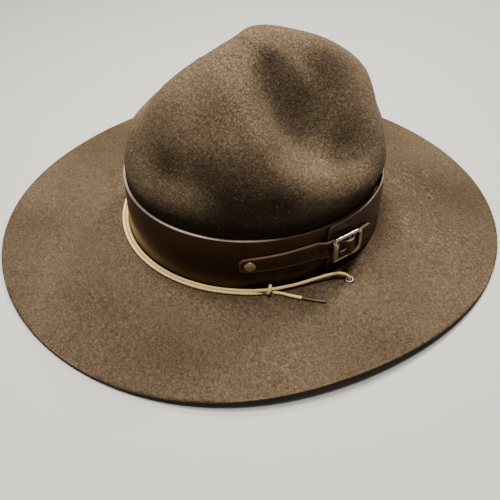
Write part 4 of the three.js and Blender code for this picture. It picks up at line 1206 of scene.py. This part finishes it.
def strap_section(inner, outer, middle, half):
    """The strap's outline with its round edges and pressed lines, and how much of the lighter edge colour
    each point takes.
    """
    low = middle - half
    high = middle + half
    rounded = rounded_section(inner, outer, low, high, STRAP_BEVEL)
    corner = CORNER_STEPS + 1
    inside = half - STRAP_LINE[-1][0]
    section = rounded[:corner]
    section += [(outer - depth, low + away) for away, depth, _ in STRAP_LINE]
    section += [(outer, middle + share * inside) for share in STRAP_MIDDLE]
    section += [(outer - depth, high - away) for away, depth, _ in STRAP_LINE[::-1]]
    section += rounded[corner:]
    beside = column(STRAP_LINE, 2)
    edge_lightness = beside + [0.0] * len(STRAP_MIDDLE) + beside[::-1]
    return section, [1.0] * corner + edge_lightness + [1.0] * (len(rounded) - corner)


def make_strap(material):
    start = STRAP_ROWS[0][0]
    end = STRAP_ROWS[-1][0]
    rings = []
    edges = []
    for i in range(STRAP_STEPS + 1):
        angle = mix(start, end, i / STRAP_STEPS)
        from_start = (angle - start) / ANGLE_PER_MM
        from_end = (end - angle) / ANGLE_PER_MM
        start_cut = 2 * max(0.0, 1 - from_start / STRAP_START_LENGTH)
        end_cut = STRAP_POINT_INSET * max(0.0, 1 - from_end / STRAP_POINT_LENGTH) ** 2
        half = float(strap_half(angle)) - max(start_cut, end_cut)
        middle = float(strap_height(angle))
        inner = BAND_FACE + CLEARANCE + strap_lift(angle)
        section, edge_lightness = strap_section(inner, inner + STRAP_THICKNESS, middle, half)
        rings.append(section_ring(angle, section))
        edges.append([1.0] * len(edge_lightness) if min(from_start, from_end) < END_DEPTH else edge_lightness)
    strap = loft("leather_strap", rings, material, marks={"cut_edge": np.array(edges)})
    rods = []
    for angle in STRAP_HOLES:
        ends = [beside_wall(angle, offset, strap_height(angle)) for offset in STRAP_HOLE_REACH]
        rods.append(cutter(ends, STRAP_HOLE_RADIUS))
    path, _ = along_path(prong_path(PRONG_HOLE_TURNS + PRONG_TURNS))
    rods.append(cutter(path, PRONG_RADIUS + CLEARANCE + EASE))
    cut_holes(strap, rods)
    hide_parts("strap")


# Buckle
def rail_lift(along):
    share = along / (2 * BUCKLE_HALF) + 0.5
    return mix(ROLLER_LIFT, FAR_BAR_LIFT, share) + RAIL_BOW * math.sin(math.pi * share)


def joined(name, parts, material, node):
    """One piece from several sets of rings."""
    points = []
    faces = []
    for rings, closed in parts:
        base = sum(len(part) for part in points)
        faces += [tuple(base + index for index in face) for face in loft_faces(rings, closed)]
        points.append(rings.reshape(-1, 3))
    piece = make_object(name, np.concatenate(points), faces, material)
    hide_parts(node)


def round_ended(run, radius, reach):
    """Radii along a rod whose ends are rounded off."""
    left = np.minimum(run, run[-1] - run)
    return radius * np.sqrt(np.clip(1 - (1 - np.clip(left / reach, 0, 1)) ** 2, ROD_END_SHARE, 1))


def make_frame(material):
    reach = BUCKLE_HALF - BUCKLE_CORNER
    inset = BUCKLE_RAIL - BUCKLE_CORNER
    half = [(along, BUCKLE_RAIL) for along in RAIL_PLACES]
    for k in range(4):
        turn = math.pi / 6 * k
        half.append((reach + BUCKLE_CORNER * math.sin(turn), inset + BUCKLE_CORNER * math.cos(turn)))
    outline = half + [(along, -up) for along, up in half[::-1]]
    path, run = along_path([by_buckle(along, rail_lift(along), up) for along, up in outline], WIRE_SPACING)
    rear = np.array([by_buckle(BUCKLE_HALF, FAR_BAR_LIFT, up) for up in (-inset, 0, inset)])
    near_rear = np.min(np.linalg.norm(path[:, None] - rear[None], axis=2), axis=1)
    broad = 1 + REAR_BAR_SWELL * (1 - smoothstep(near_rear, *REAR_BAR_REACH))
    wire = tube(path, round_ended(run, BUCKLE_WIRE_RADIUS, WIRE_END) * broad, WIRE_SIDES)
    heights = np.linspace(-BUCKLE_RAIL, BUCKLE_RAIL, BAR_POINTS)
    roller_bar = np.array([by_buckle(-BUCKLE_HALF, ROLLER_LIFT, up) for up in heights])
    middle_bar = [
        by_buckle(0, rail_lift(0), -BUCKLE_RAIL),
        by_buckle(0, MIDDLE_BAR_LIFT, -MIDDLE_BAR_HALF_LENGTH),
        by_buckle(0, MIDDLE_BAR_LIFT, 0),
        by_buckle(0, MIDDLE_BAR_LIFT, MIDDLE_BAR_HALF_LENGTH),
        by_buckle(0, rail_lift(0), BUCKLE_RAIL),
    ]
    bar, _ = along_path(middle_bar)
    parts = [
        (wire, False),
        (tube(roller_bar, ROLLER_BAR_RADIUS, BAR_SIDES), False),
        (tube(bar, MIDDLE_BAR_RADIUS, BAR_SIDES), False),
    ]
    joined("nickel_frame", parts, material, "buckle_frame")


def make_roller(material):
    centre = by_buckle(-BUCKLE_HALF, ROLLER_LIFT, 0)
    axis = by_buckle(-BUCKLE_HALF, ROLLER_LIFT, 1) - by_buckle(-BUCKLE_HALF, ROLLER_LIFT, -1)
    inner = ROLLER_BAR_RADIUS + CLEARANCE + EASE / 2
    outer = ROLLER_RADIUS
    end = ROLLER_HALF_LENGTH
    corner = 0.3 * ROLLER_BEVEL
    half = [(inner, 0.0), (inner, end - ROLLER_INNER_BEVEL), (inner + ROLLER_INNER_BEVEL, end)]
    half += [(outer - ROLLER_BEVEL, end), (outer - corner, end - corner), (outer, end - ROLLER_BEVEL)]
    profile = half + [(outer, 0.0)] + [(radius, -rise) for radius, rise in half[:0:-1]]
    sleeve = turned_rings(centre, axis, profile, ROLLER_SIDES)
    joined("nickel_roller", [(sleeve, True)], material, "buckle_roller")


def make_prong(material):
    path, run = along_path(prong_path(PRONG_TURNS), PRONG_SPACING)
    thick = PRONG_RADIUS * (1 - PRONG_TAPER * smoothstep(run, run[-1] * PRONG_TAPER_START, run[-1]))
    thick = np.minimum(thick, round_ended(run, PRONG_RADIUS, PRONG_END))
    joined("nickel_prong", [(tube(path, thick, BAR_SIDES), False)], material, "buckle_prong")


def make_rivet(material):
    foot = BAND_FACE + 2 * CLEARANCE + STRAP_THICKNESS
    centre = beside_wall(RIVET_ANGLE, foot, RIVET_HEIGHT)
    ahead = beside_wall(RIVET_ANGLE + 1, foot, RIVET_HEIGHT)
    around = ahead - beside_wall(RIVET_ANGLE - 1, foot, RIVET_HEIGHT)
    up = beside_wall(RIVET_ANGLE, foot, RIVET_HEIGHT + 1) - centre
    axis = np.cross(around, up)
    rings = turned_rings(centre, axis, RIVET_PROFILE, RIVET_SIDES)
    joined("bronze_rivet", [(rings, False)], material, "strap_rivet")


def make_eyelets(material):
    for name, angle in (("left", EYELET_ANGLE), ("right", 180 - EYELET_ANGLE)):
        centre = beside_wall(angle, EYELET_OFFSET, -FELT_WALL / 2)
        face = FELT_WALL / 2 + EYELET_LIFT
        profile = [(radius, face + rise) for radius, rise in EYELET_FLANGE]
        profile += [(radius, -face - rise) for radius, rise in EYELET_FLANGE[::-1]]
        rings = turned_rings(centre, (0, 0, 1), profile, EYELET_SIDES)
        joined("eyelet_ring_" + name, [(rings, True)], material, "eyelet_" + name)


def make_floor():
    half = FLOOR_HALF_WIDTH
    corners = np.array([(-half, -half, 0), (half, -half, 0), (half, half, 0), (-half, half, 0)])
    floor = mesh_object("floor", corners, [(0, 1, 2, 3)])
    floor.data.materials.append(floor_material())


def make_lights():
    for name, azimuth, elevation, distance, size, energy in LAMPS:
        turn = math.radians(azimuth)
        rise = math.radians(elevation)
        level = distance * math.cos(rise)
        way = Vector((level * math.cos(turn), level * math.sin(turn), distance * math.sin(rise)))
        data = bpy.data.lights.new(name, "AREA")
        data.energy = energy
        data.size = size
        data.color = LAMP_COLOUR
        light = bpy.data.objects.new(name, data)
        light.location = LAMP_TARGET + way
        light.rotation_euler = (-way).to_track_quat("-Z", "Y").to_euler()
        bpy.context.scene.collection.objects.link(light)
    world = bpy.data.worlds.new("studio")
    world.use_nodes = True
    tree = world.node_tree
    fill(tree, tree.nodes["Background"], {"Color": SKY_COLOUR, "Strength": SKY_STRENGTH})
    bpy.context.scene.world = world


make_camera()
make_lights()
make_floor()
nickel = metal_material("nickel_plate", (0.56, 0.49, 0.42), (0.24, 0.19, 0.14), 0.22, 0.6)
worn_nickel = metal_material("worn_nickel", (0.36, 0.3, 0.22), (0.17, 0.13, 0.085), 0.3, 0.75)
make_cord(cord_material(), tip_material())
felt_shape = make_felt(felt_material())
make_lint(*felt_shape, lint_material())
# The band's pale edge colour is partly the raw leather's own and partly a painted highlight.
band_leather = leather_material(
    "band_leather", (0.017, 0.0068, 0.003), (0.034, 0.0145, 0.0072), (0.6, 0.46, 0.39), 0.3,
)
make_band(band_leather)
strap_leather = leather_material(
    "strap_leather", (0.025, 0.0105, 0.005), (0.048, 0.021, 0.0105), (0.12, 0.072, 0.045), 0.34,
)
make_strap(strap_leather)
make_frame(nickel)
make_roller(worn_nickel)
make_prong(nickel)
make_rivet(metal_material("antique_bronze", (0.42, 0.32, 0.22), (0.2, 0.145, 0.1), 0.4, 0.7))
make_eyelets(metal_material("dull_nickel", (0.22, 0.18, 0.12), (0.12, 0.09, 0.06), 0.36, 0.7))
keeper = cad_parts["buckle_keeper"]
keeper.data.materials.clear()
keeper.data.materials.append(strap_leather)
soften = keeper.modifiers.new("soft_edges", "BEVEL")
soften.width = KEEPER_BEVEL / 1000
soften.segments = 2
